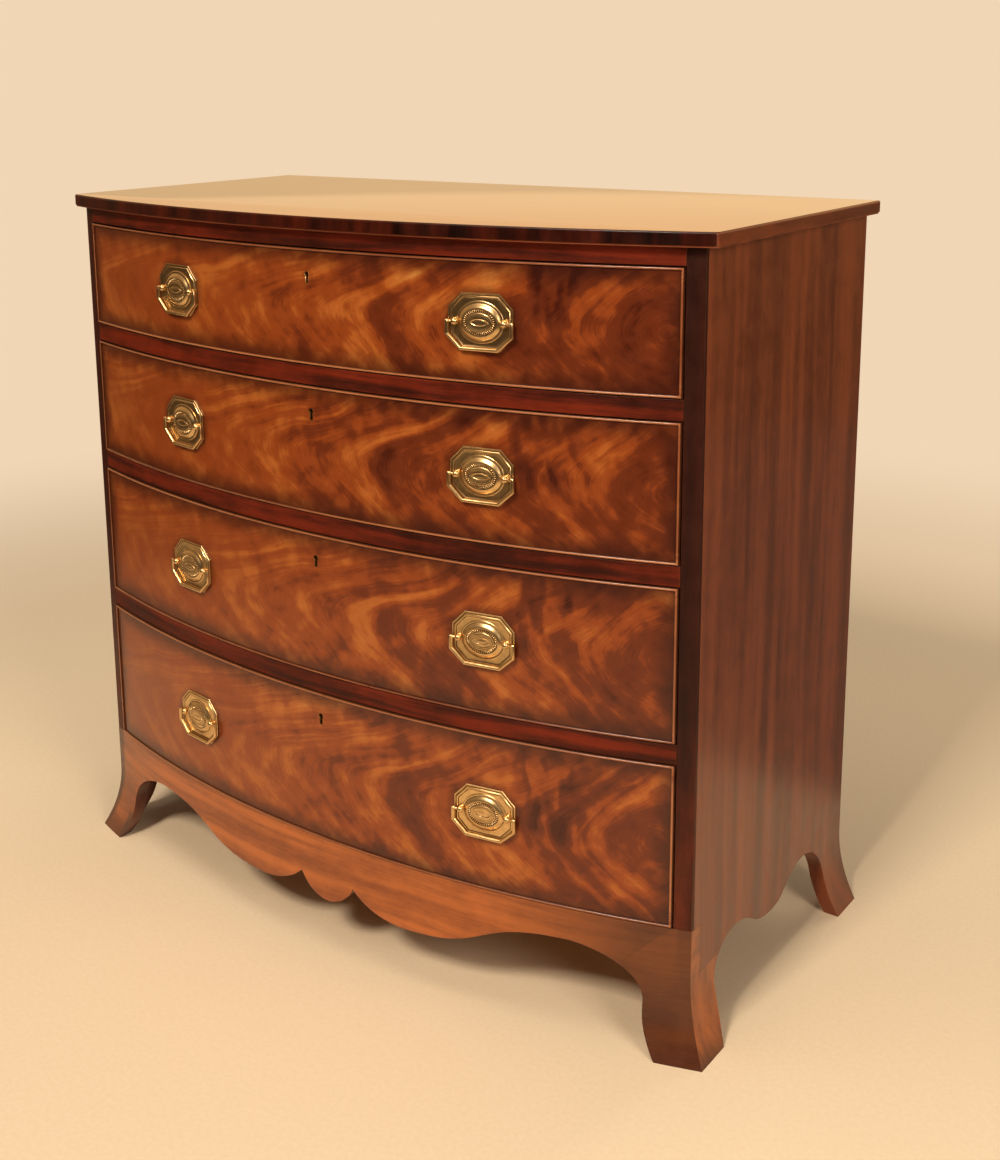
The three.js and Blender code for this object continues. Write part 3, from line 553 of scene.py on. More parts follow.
def add_node(tree, kind, *inputs, **settings):
    """Adds a node and gives one output, or the node: inputs in order or by name, as values or sockets."""
    kind, shared = (kind, {}) if isinstance(kind, str) else kind
    settings = {"out": 0, **shared, **settings}
    out = settings.pop("out")
    node = tree.nodes.new(kind)
    for name, value in settings.items():
        setattr(node, name, value)
    for place, given in enumerate(inputs):
        for name, value in (given if isinstance(given, dict) else {place: given}).items():
            if isinstance(value, bpy.types.NodeSocket):
                tree.links.new(value, node.inputs[name])
            else:
                node.inputs[name].default_value = value
    return node if out is None else node.outputs[out]


def new_material(name):
    """An empty material and the function that adds nodes to it."""
    material = bpy.data.materials.new(name)
    material.use_nodes = True
    material.node_tree.nodes.clear()
    return material, partial(add_node, material.node_tree)


def close_material(add, shader):
    add("ShaderNodeOutputMaterial", {"Surface": shader}, out=None)


def grade(node, stops, interpolation="LINEAR"):
    """Sets the stops of a colour ramp and gives its colour."""
    node.color_ramp.interpolation = interpolation
    elements = node.color_ramp.elements
    while len(elements) < len(stops):
        elements.new(0.5)
    for element, (place, value) in zip(elements, stops):
        element.position = place
        element.color = value
    return node.outputs["Color"]


def stack(add, layers):
    """Adds up patterns round one half, each with its strength."""
    value = 0.5 - sum(strength for _, strength in layers) / 2
    for layer, strength in layers:
        value = add(TIMES_PLUS, layer, strength, value)
    return value


def drifted(add, place, scale, reach):
    """Coordinates that wander slowly, so that straight patterns follow a living tree."""
    drift = add(NOISE, {"Vector": place, "Scale": scale, "Detail": 2.0, "Roughness": 0.5}, out="Color")
    drift = add(APART, drift, HALF)
    return add(MOVED, drift, reach, place)


def streaks(add, place, along, across, detail=2.0, roughness=0.55):
    """Noise drawn out along the grain; along and across are how many changes there are in a metre."""
    spot = add(SCALED, place, (along, across, across))
    return add(NOISE, {"Vector": spot, "Scale": 1.0, "Detail": detail, "Roughness": roughness})


def polished_flame_mahogany(finishes):
    """Crotch mahogany veneer under french polish. The fork of the tree leaves a dark eye near the right
    end, dark and bright arcs round its left, and long feathers that rise from them to the right; farther
    left the veneer is calm. The polish gives a soft gloss over a deep orange brown."""
    material, add = new_material("polished_flame_mahogany")
    veneer = add(ATTRIBUTE, attribute_name="veneer", out="Vector")
    place = drifted(add, veneer, 7.0, (0.05, 0.035, 0.0))
    across, height = add(SPLIT, place, out=None).outputs[:2]
    away = add(SIZE, add(LESS, EYE_OUT, across))
    # How far an arc has swung to the right at this height: little below the axis, far above it
    square = add(TIMES_PLUS, height, height, FLAME_ROUND ** 2)
    lift = add(LESS, add(ROOT, square), FLAME_ROUND)
    above = add(EASED, height, -0.015, 0.02, 0.0, 1.0)
    lean = add(TIMES_PLUS, away, 7.0, 1.0)
    slant = add(MIX, {0: above, 2: 1.2, 3: lean})
    swing_by = add(TIMES_PLUS, add(TIMES, slant, lift), 2.0, away)
    rise = add(TIMES, height, height)
    arcs = add(ROOT, add(TIMES_PLUS, away, swing_by, rise))
    # Bands a few centimetres wide, feathered streaks and fibres, all drawn out along the arcs
    layers = []
    for steps, slow, detail, strength in (
            (27.0, 6.0, 2.0, 0.56), (75.0, 24.0, 3.0, 0.2), (420.0, 60.0, 3.0, 0.26)):
        ripple = add(GATHER, {"X": add(TIMES, arcs, steps)})
        spot = add(MOVED, place, (slow, slow, slow), ripple)
        layers.append((add(NOISE, {"Vector": spot, "Scale": 1.0, "Detail": detail, "Roughness": 0.55}),
                       strength))
    fibres = layers[2][0]
    patch = add(NOISE, {"Vector": veneer, "Scale": 13.0, "Detail": 2.0})
    cloud = add(NOISE, {"Vector": veneer, "Scale": 42.0, "Detail": 2.0, "Roughness": 0.5})
    layers += [(patch, 0.6), (cloud, 0.45)]
    # The bands that every leaf of the flitch shares, stronger in some places than in others
    bands = grade(add(RAMP, add(OVER, arcs, FLAME_REACH), out=None),
                  [(far / FLAME_REACH, (tone, tone, tone, 1.0)) for far, tone in FLAME_BANDS], "EASE")
    weight = add(TIMES_PLUS, layers[0][0], 1.5, -0.05)
    shared = add(TIMES_PLUS, add(LESS, bands, 0.5), weight, stack(add, layers))
    # Dark curls that hang beside the right handle
    curl = streaks(add, place, 48.0, 15.0, 1.0)
    curl = add(EASED, curl, 0.42, 0.62, 0.0, 0.24)
    beside = add(SIZE, add(LESS, across, CURLS_OUT))
    beside = add(EASED, beside, 0.025, 0.06, 1.0, 0.0)
    upper = add(EASED, height, -0.035, 0.01, 0.0, 1.0)
    curl = add(TIMES, curl, add(TIMES, beside, upper))
    value = add(LESS, shared, curl)
    # The left half has a calmer figure, and is made lighter as painted light falling from the left
    calm = add(EASED, across, -0.36, 0.1, 0.62, 0.0)
    value = add(MIX, {0: calm, 2: value, 3: 0.57})
    figure = grade(add(RAMP, value, out=None), [
        (0.08, colour(finishes.flame_dark)), (0.36, colour("#672a10")), (0.52, colour(finishes.flame_mid)),
        (0.7, colour(finishes.flame_light)), (0.94, colour("#c98542"))], "EASE")
    # Open pores, short dark dashes along the grain
    pores = streaks(add, add(GATHER, {"X": across, "Y": arcs}), 160.0, 800.0)
    pores = add(RANGE, pores, 0.6, 0.72, 0.0, 0.5)
    figure = add(BLEND, {0: pores, 6: figure, 7: colour(finishes.flame_dark)})
    # Painted shade darkens the veneer along the beads, and a painted shadow darkens it round the handle
    # plates
    rim = add(ATTRIBUTE, attribute_name="rim", out="Fac")
    ragged = add(TIMES_PLUS, cloud, 0.014, rim)
    edge = add(EASED, ragged, 0.007, 0.036, 0.72, 0.0)
    x, z = add(SPLIT, veneer, out=None).outputs[:2]
    out = add(LESS, add(SIZE, x), arc(HANDLE_OUT))
    plan = add(GATHER, {"X": add(OVER, out, PLATE_WIDTH), "Y": add(OVER, z, PLATE_HEIGHT)})
    painted_plate_shadow = add(EASED, add(LENGTH, plan), 0.5, 0.7, 0.55, 0.0)
    painted_rim_and_plate_shade = add(MOST, edge, painted_plate_shadow)
    final = add(BLEND, {0: painted_rim_and_plate_shade, 6: figure, 7: colour("#32110a")})
    rough = add(RANGE, cloud, 0.3, 0.7, 0.3, 0.4)
    bump = add(BUMP, {"Strength": 0.05, "Distance": 0.0005, "Height": fibres})
    close_material(add, add(PRINCIPLED, {
        "Base Color": final, "Roughness": rough, "Normal": bump, "Specular IOR Level": 0.25,
        "Coat Weight": 0.35, "Coat Roughness": 0.12}))
    return material


def polished_straight_mahogany(name, light, dark, stripe=0.022, gloss=0.3, coat=0.3, coat_rough=0.14,
                               shine=0.4, contrast=1.0, source="grain"):
    """Straight-grained mahogany under french polish: dark stripes a few centimetres apart, fine open pores
    drawn out along the grain, darker in the hollows and paler on the edges."""
    material, add = new_material(name)
    grain = add(ATTRIBUTE, attribute_name=source, out="Vector")
    place = drifted(add, grain, 4.0, (0.0, 0.02, 0.02))
    stripes = streaks(add, place, 0.05 / stripe, 1 / stripe, 4.0)
    # Pores and fibres, about 1 mm across and 20 mm long
    pores = streaks(add, place, 45.0, 900.0, 2.0, 0.6)
    cloud = add(NOISE, {"Vector": grain, "Scale": 30.0, "Detail": 3.0, "Roughness": 0.6})
    value = stack(add, ((stripes, 1.7 * contrast), (pores, 0.45), (cloud, 0.5 * contrast)))
    figure = grade(add(RAMP, value, out=None), [(0.1, colour(dark)), (0.9, colour(light))], "EASE")
    hollow = add(ATTRIBUTE, attribute_name="hollow", out="Fac")
    grime = add(RANGE, hollow, 0.02, 0.3, 0.0, 0.75)
    wear = add(RANGE, hollow, -0.3, -0.06, 0.45, 0.0)
    worn = add(BLEND, {0: wear, 6: figure, 7: colour("#a4623a")})
    # The stain attribute holds painted shade on the beads, the apron's right end and the right front foot,
    # and the darkening of the stiles and of the feet's toes and corners
    stain = add(ATTRIBUTE, attribute_name="stain", out="Fac")
    dark_places = add(MOST, grime, stain)
    final = add(BLEND, {0: dark_places, 6: worn, 7: colour("#1e0905")})
    rough = add(RANGE, cloud, 0.3, 0.7, gloss, gloss * 1.45)
    bump = add(BUMP, {"Strength": 0.04, "Distance": 0.0004, "Height": pores})
    close_material(add, add(PRINCIPLED, {
        "Base Color": final, "Roughness": rough, "Normal": bump, "Specular IOR Level": shine,
        "Coat Weight": coat, "Coat Roughness": coat_rough}))
    return material


def bare_timber(name, light, dark, stripe=0.012):
    """Unpolished secondary timber gone grey-brown with age: open grain, darker in its hollows, no gloss."""
    material, add = new_material(name)
    grain = add(ATTRIBUTE, attribute_name="grain", out="Vector")
    place = drifted(add, grain, 5.0, (0.0, 0.03, 0.03))
    rings = streaks(add, place, 0.04 / stripe, 1 / stripe, 5.0, 0.6)
    pores = streaks(add, place, 60.0, 1100.0)
    stain = add(NOISE, {"Vector": grain, "Scale": 9.0, "Detail": 4.0, "Roughness": 0.6})
    value = stack(add, ((rings, 1.7), (pores, 0.5), (stain, 0.9)))
    figure = grade(add(RAMP, value, out=None), [(0.1, colour(dark)), (0.9, colour(light))])
    hollow = add(ATTRIBUTE, attribute_name="hollow", out="Fac")
    dust = add(RANGE, hollow, 0.02, 0.3, 0.0, 0.85)
    final = add(BLEND, {0: dust, 6: figure, 7: colour("#2a1a0e")})
    bump = add(BUMP, {"Strength": 0.25, "Distance": 0.0008, "Height": pores})
    close_material(add, add(PRINCIPLED, {
        "Base Color": final, "Roughness": 0.78, "Normal": bump, "Specular IOR Level": 0.3}))
    return material


def aged_metal(name, base, tarnish, roughness=0.29):
    """Cast and stamped metal, polished on what hands touch and brown in its hollows."""
    material, add = new_material(name)
    place = add("ShaderNodeTexCoord", out="Object")
    # Uneven polish, blotches of a few millimetres
    blotch = add(NOISE, {"Vector": place, "Scale": 150.0, "Detail": 3.0, "Roughness": 0.55})
    scratch = add(NOISE, {"Vector": place, "Scale": 900.0, "Detail": 2.0})
    hollow = add(ATTRIBUTE, attribute_name="hollow", out="Fac")
    dirty = add(TIMES_PLUS, blotch, 0.1, hollow)
    grime = add(RANGE, dirty, 0.06, 0.19, 0.0, 0.95)
    shade = add(RANGE, blotch, 0.35, 0.65, 0.0, 0.16)
    metal = add(BLEND, {0: shade, 6: colour(base), 7: colour(tarnish)})
    final = add(BLEND, {0: grime, 6: metal, 7: colour(tarnish)})
    rough = add(RANGE, grime, 0.0, 1.0, roughness, 0.6)
    bump = add(BUMP, {"Strength": 0.05, "Distance": 0.0002, "Height": scratch})
    close_material(add, add(PRINCIPLED, {
        "Base Color": final, "Metallic": 1.0, "Roughness": rough, "Normal": bump}))
    return material


materials = {}


def make_materials(finishes):
    rail = (finishes.rail_light, finishes.rail_dark)
    side = (finishes.side_light, finishes.side_dark)
    straight = polished_straight_mahogany
    materials.update({
        "flame": polished_flame_mahogany(finishes),
        # Solid rails, redder and darker than the veneer
        "rail": straight("polished_rail_mahogany", *rail, stripe=0.014, gloss=0.42, coat=0.08, shine=0.15),
        # Bead strips, pale as a painted highlight along their noses, with painted shade on their flanks
        "bead": straight("polished_bead_mahogany", "#b26c40", "#7c3d20", stripe=0.05, gloss=0.26, coat=0.4),
        # Front edges of the sides, almost black except near the feet
        "stile": straight("darkened_stile_mahogany", "#6a2811", "#2c0d06", stripe=0.03, gloss=0.4,
                          coat=0.08, shine=0.2),
        "side": straight("polished_side_mahogany", *side, stripe=0.03),
        # The outer faces of the front feet, from the same boards as the sides
        "foot_side": straight("polished_foot_mahogany", *side, stripe=0.03, gloss=0.3, source="side_grain"),
        "apron": straight("polished_apron_mahogany", finishes.apron_light, finishes.apron_dark,
                          stripe=0.018),
        # The top's face, waxed to a mirror at a low angle; its pale orange colour is partly the wood's own
        # and partly painted light from above
        "top": straight("waxed_top_mahogany", "#c87b38", "#a05a27", stripe=0.03, gloss=0.07, coat=1.0,
                        coat_rough=0.03, contrast=0.6),
        # Cross-banding: short grain that stands upright on the edge
        "band": straight("cross_banded_mahogany", "#491608", "#140503", stripe=0.03, coat=0.1, shine=0.2,
                         source="band"),
        # Pale string let in under the edge
        "string": straight("string_of_paler_mahogany", "#8a4626", "#642c17", stripe=0.02),
        "oak": bare_timber("aged_oak", "#b3905f", "#7e5b36"),
        "pine": bare_timber("aged_pine", "#a67f4f", "#6d4a2a", stripe=0.02),
        "brass": aged_metal("polished_aged_brass", finishes.brass, "#4d2c13"),
        "dull_brass": aged_metal("tarnished_brass", "#8a6534", "#2c1a0c", roughness=0.4),
        "steel": aged_metal("dull_iron", "#6e6962", "#33251b", roughness=0.45),
    })


def sizes():
    return bpy.context.scene.chest_sizes


def finishes():
    return bpy.context.scene.chest_finishes


# Node trees that make shapes
def new_shape(name, lengths, count):
    """A geometry tree that takes some lengths, a count and a material, and its node-adding function."""
    tree = bpy.data.node_groups.new(name, "GeometryNodeTree")
    tree.interface.new_socket(name="Geometry", in_out="OUTPUT", socket_type="NodeSocketGeometry")
    for label, kind in {**dict.fromkeys(lengths, "Float"), count: "Int", "Material": "Material"}.items():
        tree.interface.new_socket(name=label, in_out="INPUT", socket_type=f"NodeSocket{kind}")
    return tree, partial(add_node, tree)


def close_shape(add, geometry, material):
    real = add("GeometryNodeRealizeInstances", geometry)
    painted = add("GeometryNodeSetMaterial", {"Geometry": real, "Material": material})
    add("NodeGroupOutput", painted, out=None)


def run_shape(tree, name, values):
    """Runs a geometry tree on an empty mesh with named inputs and keeps the plain mesh."""
    obj = linked(name, bpy.data.meshes.new(name))
    modifier = obj.modifiers.new("shape", "NODES")
    modifier.node_group = tree
    for item in tree.interface.items_tree:
        if item.item_type == "SOCKET" and item.in_out == "INPUT":
            modifier[item.identifier] = values[item.name]
    return settle(obj)


def bowed_bar_tree():
    """A straight bar bent to the bow: even depth behind the face, square ends."""
    lengths = ("Half", "Depth", "Low", "High", "Bow radius", "Bow centre")
    tree, add = new_shape("Bowed bar", lengths, "Columns")
    given = add("NodeGroupInput", out=None).outputs
    height = add(LESS, given["High"], given["Low"])
    size = add(GATHER, add(TIMES, given["Half"], 2.0), given["Depth"], height)
    columns = add(PLUS, given["Columns"], 1.0)
    bar = add("GeometryNodeMeshCube", {
        "Size": size, "Vertices X": columns, "Vertices Y": 2, "Vertices Z": 2}, out="Mesh")
    x, y, z = add(SPLIT, add("GeometryNodeInputPosition"), out=None).outputs
    inset = add(TIMES_PLUS, given["Depth"], 0.5, y)
    radius = add(LESS, given["Bow radius"], inset)
    back = add(ROOT, add(LESS, add(TIMES, radius, radius), add(TIMES, x, x)))
    middle = add(TIMES_PLUS, add(PLUS, given["Low"], given["High"]), 0.5, z)
    bent = add(GATHER, x, add(LESS, given["Bow centre"], back), middle)
    moved = add("GeometryNodeSetPosition", {"Geometry": bar, "Position": bent})
    close_shape(add, moved, given["Material"])
    return tree


def bowed_bar(name, half, depth, low, high, material):
    tree = bpy.data.node_groups.get("Bowed bar") or bowed_bar_tree()
    return run_shape(tree, name, {
        "Half": half, "Depth": depth, "Low": low, "High": high, "Bow radius": BOW_RADIUS,
        "Bow centre": BOW_CENTRE, "Columns": sizes().bow_columns, "Material": material})


def ray_ring_tree():
    """Rays set round an oval, each pointing away from its middle."""
    lengths = ("Half width", "Half height", "Ray length", "Ray width", "Reach")
    tree, add = new_shape("Ring of rays", lengths, "Count")
    given = add("NodeGroupInput", out=None).outputs
    ring = add("GeometryNodeCurvePrimitiveCircle", {"Resolution": OVAL_STEPS, "Radius": 1.0}, mode="RADIUS")
    size = add(GATHER, given["Half width"], given["Half height"], 1.0)
    oval = add("GeometryNodeTransform", {"Geometry": ring, "Scale": size})
    points = add("GeometryNodeCurveToPoints", {"Curve": oval, "Count": given["Count"]}, mode="COUNT",
                 out="Points")
    grain = add("GeometryNodeMeshUVSphere", {"Segments": 8, "Rings": 6, "Radius": 0.5}, out="Mesh")
    shape = add(GATHER, given["Ray length"], given["Ray width"], given["Ray width"])
    ray = add("GeometryNodeTransform", {"Geometry": grain, "Scale": shape})
    outwards = add("GeometryNodeInputPosition")
    turned = add("FunctionNodeAlignRotationToVector", {"Vector": outwards}, axis="X")
    rays = add("GeometryNodeInstanceOnPoints", {"Points": points, "Instance": ray, "Rotation": turned})
    # From the flat of the page to the front of the plate
    reach = add(GATHER, 0.0, add(TIMES, given["Reach"], -1.0), 0.0)
    stood = add("GeometryNodeTransform", {
        "Geometry": rays, "Translation": reach, "Rotation": (math.radians(90), 0.0, 0.0)})
    close_shape(add, stood, given["Material"])
    return tree


# The top
def top_outline(inset):
    """Plan of the top from its rear left corner round the front to its rear right corner."""
    half = CASE_HALF + TOP_OVERHANG - inset
    front = inset - TOP_FRONT_OVERHANG
    round_by = sizes().top_corner
    reach = half - round_by
    line = [(x, bow_y(x, front)) for x in spread(-reach, reach, sizes().bow_columns)]
    corner = (half, bow_y(half, front))
    leave = (half, corner[1] + round_by)
    start = line[-1]
    turn = []
    for share in spread(0, 1, EDGE_STEPS)[1:]:
        weights = ((1 - share) ** 2, 2 * share * (1 - share), share ** 2)
        turn.append(tuple(sum(w * p[axis] for w, p in zip(weights, (start, corner, leave)))
                          for axis in (0, 1)))
    left = [(-x, y) for x, y in reversed(turn)]
    rear = top_high.y - inset
    return [(-half, rear), *left, *line, *turn, (half, rear)]


class CHEST_OT_top(Operator):
    """Makes the top board with its cross-banded edge and the string below it"""

    bl_idname = "chest.top"
    bl_label = "Top"

    def execute(self, context):
        fine = sizes()
        low, high = top_low.z, top_high.z
        rebate = low + fine.string_height
        deep = fine.string_inset + 3 * MM
        levels = [(low, deep), (rebate, deep), (rebate, 0.0), (rebate + 1 * MM, 0.0),
                  (high - fine.top_arris - 1 * MM, 0.0)]
        for turn in spread(0, math.pi / 2, EDGE_STEPS):
            levels.append((high - fine.top_arris * (1 - math.sin(turn)),
                           fine.top_arris * (1 - math.cos(turn))))
        board = loft("top_board", [[(x, y, z) for x, y in top_outline(inset)] for z, inset in levels])
        smooth(board, 40)
        front = [abs(v.co.y - bow_y(v.co.x, -TOP_FRONT_OVERHANG)) < 8 * MM for v in board.data.vertices]
        note(board, "band", [
            (v.co.z, arc(v.co.x) if is_front else v.co.y, 0.0)
            for v, is_front in zip(board.data.vertices, front)])
        lay_grain(board, along_y, 0, "side_grain")
        for name in ("top", "band", "pine", "foot_side"):
            board.data.materials.append(materials[name])
        for face in board.data.polygons:
            if face.center.z < rebate + 0.1 * MM:
                face.material_index = 2
            elif face.normal.z < 0.97:
                face.material_index = 3 if abs(face.normal.x) > 0.7 else 1
        finish(board, along_x, 1, "top", "case", "mahogany", "top_board")
        profile = [(low, fine.string_inset), (rebate - 0.05 * MM, fine.string_inset),
                   (rebate - 0.05 * MM, deep), (low, deep)]
        outlines = [top_outline(inset) for _, inset in profile]
        rings = [[(*outline[step], z) for (z, _), outline in zip(profile, outlines)]
                 for step in range(len(outlines[0]))]
        string = soften(loft("top_string", rings), 0.25 * MM)
        finish(string, along_bow, 2, "string", "case", "mahogany")
        return {"FINISHED"}


class CHEST_OT_rails(Operator):
    """Makes the bowed rails between the drawers, with the dust boards and drawer stops behind them"""

    bl_idname = "chest.rails"
    bl_label = "Rails"

    def execute(self, context):
        low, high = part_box("top_rail")
        self.make_rail("top_rail_front", 1, TOP_RAIL_DEPTH, low.z, high.z, "top_rail")
        for row in ROWS[:-1]:
            low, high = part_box(f"divider_{row}")
            top = low.z + RAIL_THICK
            self.make_rail(f"rail_{row}", row + 1, RAIL_DEPTH, low.z, top, f"divider_{row}")
            housed = OPENING_HALF + HOUSING_DEPTH
            boards = [block("board", -housed, housed, CASE_FRONT + HOUSING_SET_BACK, high.y,
                            top - DUST_THICK, top)]
            for side in SIDES:
                x = side * STOP_OUT
                front = bow_y(STOP_OUT - STOP_LENGTH / 2, FRONT_THICK) + STOP_DEPTH
                boards.append(block("stop", x - STOP_LENGTH / 2, x + STOP_LENGTH / 2, front,
                                    front + STOP_DEPTH, top - DUST_THICK / 2, top + STOP_HEIGHT))
            dust = soften(joined(f"dust_board_{row}", boards), sizes().arris)
            finish(dust, along_x, 6 + row, "pine", "case", "pine")
        return {"FINISHED"}

    def make_rail(self, name, row, depth, low, high, node):
        """The rail over a drawer, with a mortice for the bolt of its lock."""
        rail = bowed_bar(name, OPENING_HALF - FIT_GAP, depth, low, high, materials["rail"])
        bolt_low, bolt_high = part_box(f"drawer_{row}_lock_bolt")
        room = MORTICE_CLEARANCE
        carve(rail, block("mortice", bolt_low.x - room, bolt_high.x + room, bolt_low.y - room,
                          bolt_high.y + room, low - OVERRUN, low + MORTICE_DEPTH))
        finish(soften(rail, sizes().arris), along_bow, 2 + row, "rail", "case", "mahogany", node)


def foot_mitre(gap):
    """The corner of the apron that the right front foot takes up."""
    top = (OPENING_HALF - gap, PLINTH + OVERRUN)
    bottom = (OPENING_HALF - MITRE_REACH - gap, PLINTH - MITRE_FALL)
    reach = CASE_HALF + SIDE_FLARE + OVERRUN
    outline = [top, bottom, (bottom[0], -OVERRUN), (reach, -OVERRUN), (reach, top[1])]
    return prism_front("mitre", outline, apron_low.y - FRONT_FLARE - OVERRUN, CASE_BACK)


def foot_side(gap):
    """The corner of a side board that the right front foot takes up."""
    front = apron_low.y - FRONT_FLARE - 2 * OVERRUN
    near, far = CASE_FRONT + APRON_THICK + gap, CASE_FRONT + SIDE_PEAK_FRONT
    outline = [(front, -OVERRUN), (far, -OVERRUN), (far, FOOT_JOIN + gap), (near, FOOT_JOIN + gap),
               (near, PLINTH + gap), (front, PLINTH + gap)]
    return prism_side("corner", outline, OPENING_HALF - CASE_HALF, CASE_HALF + SIDE_FLARE + OVERRUN)


class CHEST_OT_sides(Operator):
    """Makes the side boards with their rear feet, and the dark edges beside the drawers"""

    bl_idname = "chest.sides"
    bl_label = "Sides"

    def execute(self, context):
        reach = CASE_HALF + SIDE_FLARE + OVERRUN
        rings = []
        for z in [*spread(0, FLARE_HEIGHT, FLARE_STEPS), CASE_TOP]:
            out = SIDE_FLARE * flare(z)
            inner, outer = OPENING_HALF + out, CASE_HALF + out
            rings.append([(inner, apron_low.y, z), (outer, apron_low.y, z), (outer, CASE_BACK, z),
                          (inner, CASE_BACK, z)])
        board = loft("side_board_right", rings)
        carve(board, prism_side("outline", side_silhouette(), OPENING_HALF / 2, reach), "INTERSECT")
        xs = spread(OPENING_HALF - OVERRUN, CASE_HALF, 8)
        plan = [*[(x, bow_y(x, STILE_DEPTH)) for x in xs], (reach, CASE_FRONT + STILE_DEPTH),
                (reach, CASE_BACK + OVERRUN), (xs[0], CASE_BACK + OVERRUN)]
        carve(board, loft("plan", [[(x, y, z) for x, y in plan] for z in (-OVERRUN, CASE_TOP + OVERRUN)]),
              "INTERSECT")
        carve(board, foot_side(FIT_GAP))
        for row in ROWS[:-1]:
            low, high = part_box(f"divider_{row}")
            top = low.z + RAIL_THICK
            carve(board, block("housing", OPENING_HALF - OVERRUN, OPENING_HALF + HOUSING_DEPTH + FIT_GAP,
                               CASE_FRONT + HOUSING_SET_BACK - FIT_GAP, high.y + FIT_GAP,
                               top - DUST_THICK - FIT_GAP, top + FIT_GAP))
        soften(board, sizes().arris)
        left = mirrored(board, "side_board_left")
        heights = (PLINTH + FIT_GAP, 1.6 * PLINTH, 2.6 * PLINTH, CASE_TOP)
        stile = loft("stile_right", [[(x, y, z) for x, y in self.stile_plan()] for z in heights])
        soften(stile, 1.0 * MM, 3)
        left_stile = mirrored(stile, "stile_left")
        for obj, where, seed in ((board, "right", 11), (left, "left", 12)):
            finish(obj, along_z, seed, "side", "case", "side_mahogany", f"side_{where}")
        for obj, seed in ((stile, 13), (left_stile, 14)):
            note(obj, "stain", [STILE_DARKENING * clamped(v.co.z / PLINTH - STILE_CLEAR)
                                for v in obj.data.vertices])
            finish(obj, upright_x, seed, "stile", "case", "mahogany")
        return {"FINISHED"}

    def stile_plan(self):
        xs = spread(OPENING_HALF, CASE_HALF, EDGE_STEPS)
        front = [(x, bow_y(x)) for x in xs]
        back = [(x, bow_y(x, STILE_DEPTH)) for x in reversed(xs)]
        return [*front, *back]


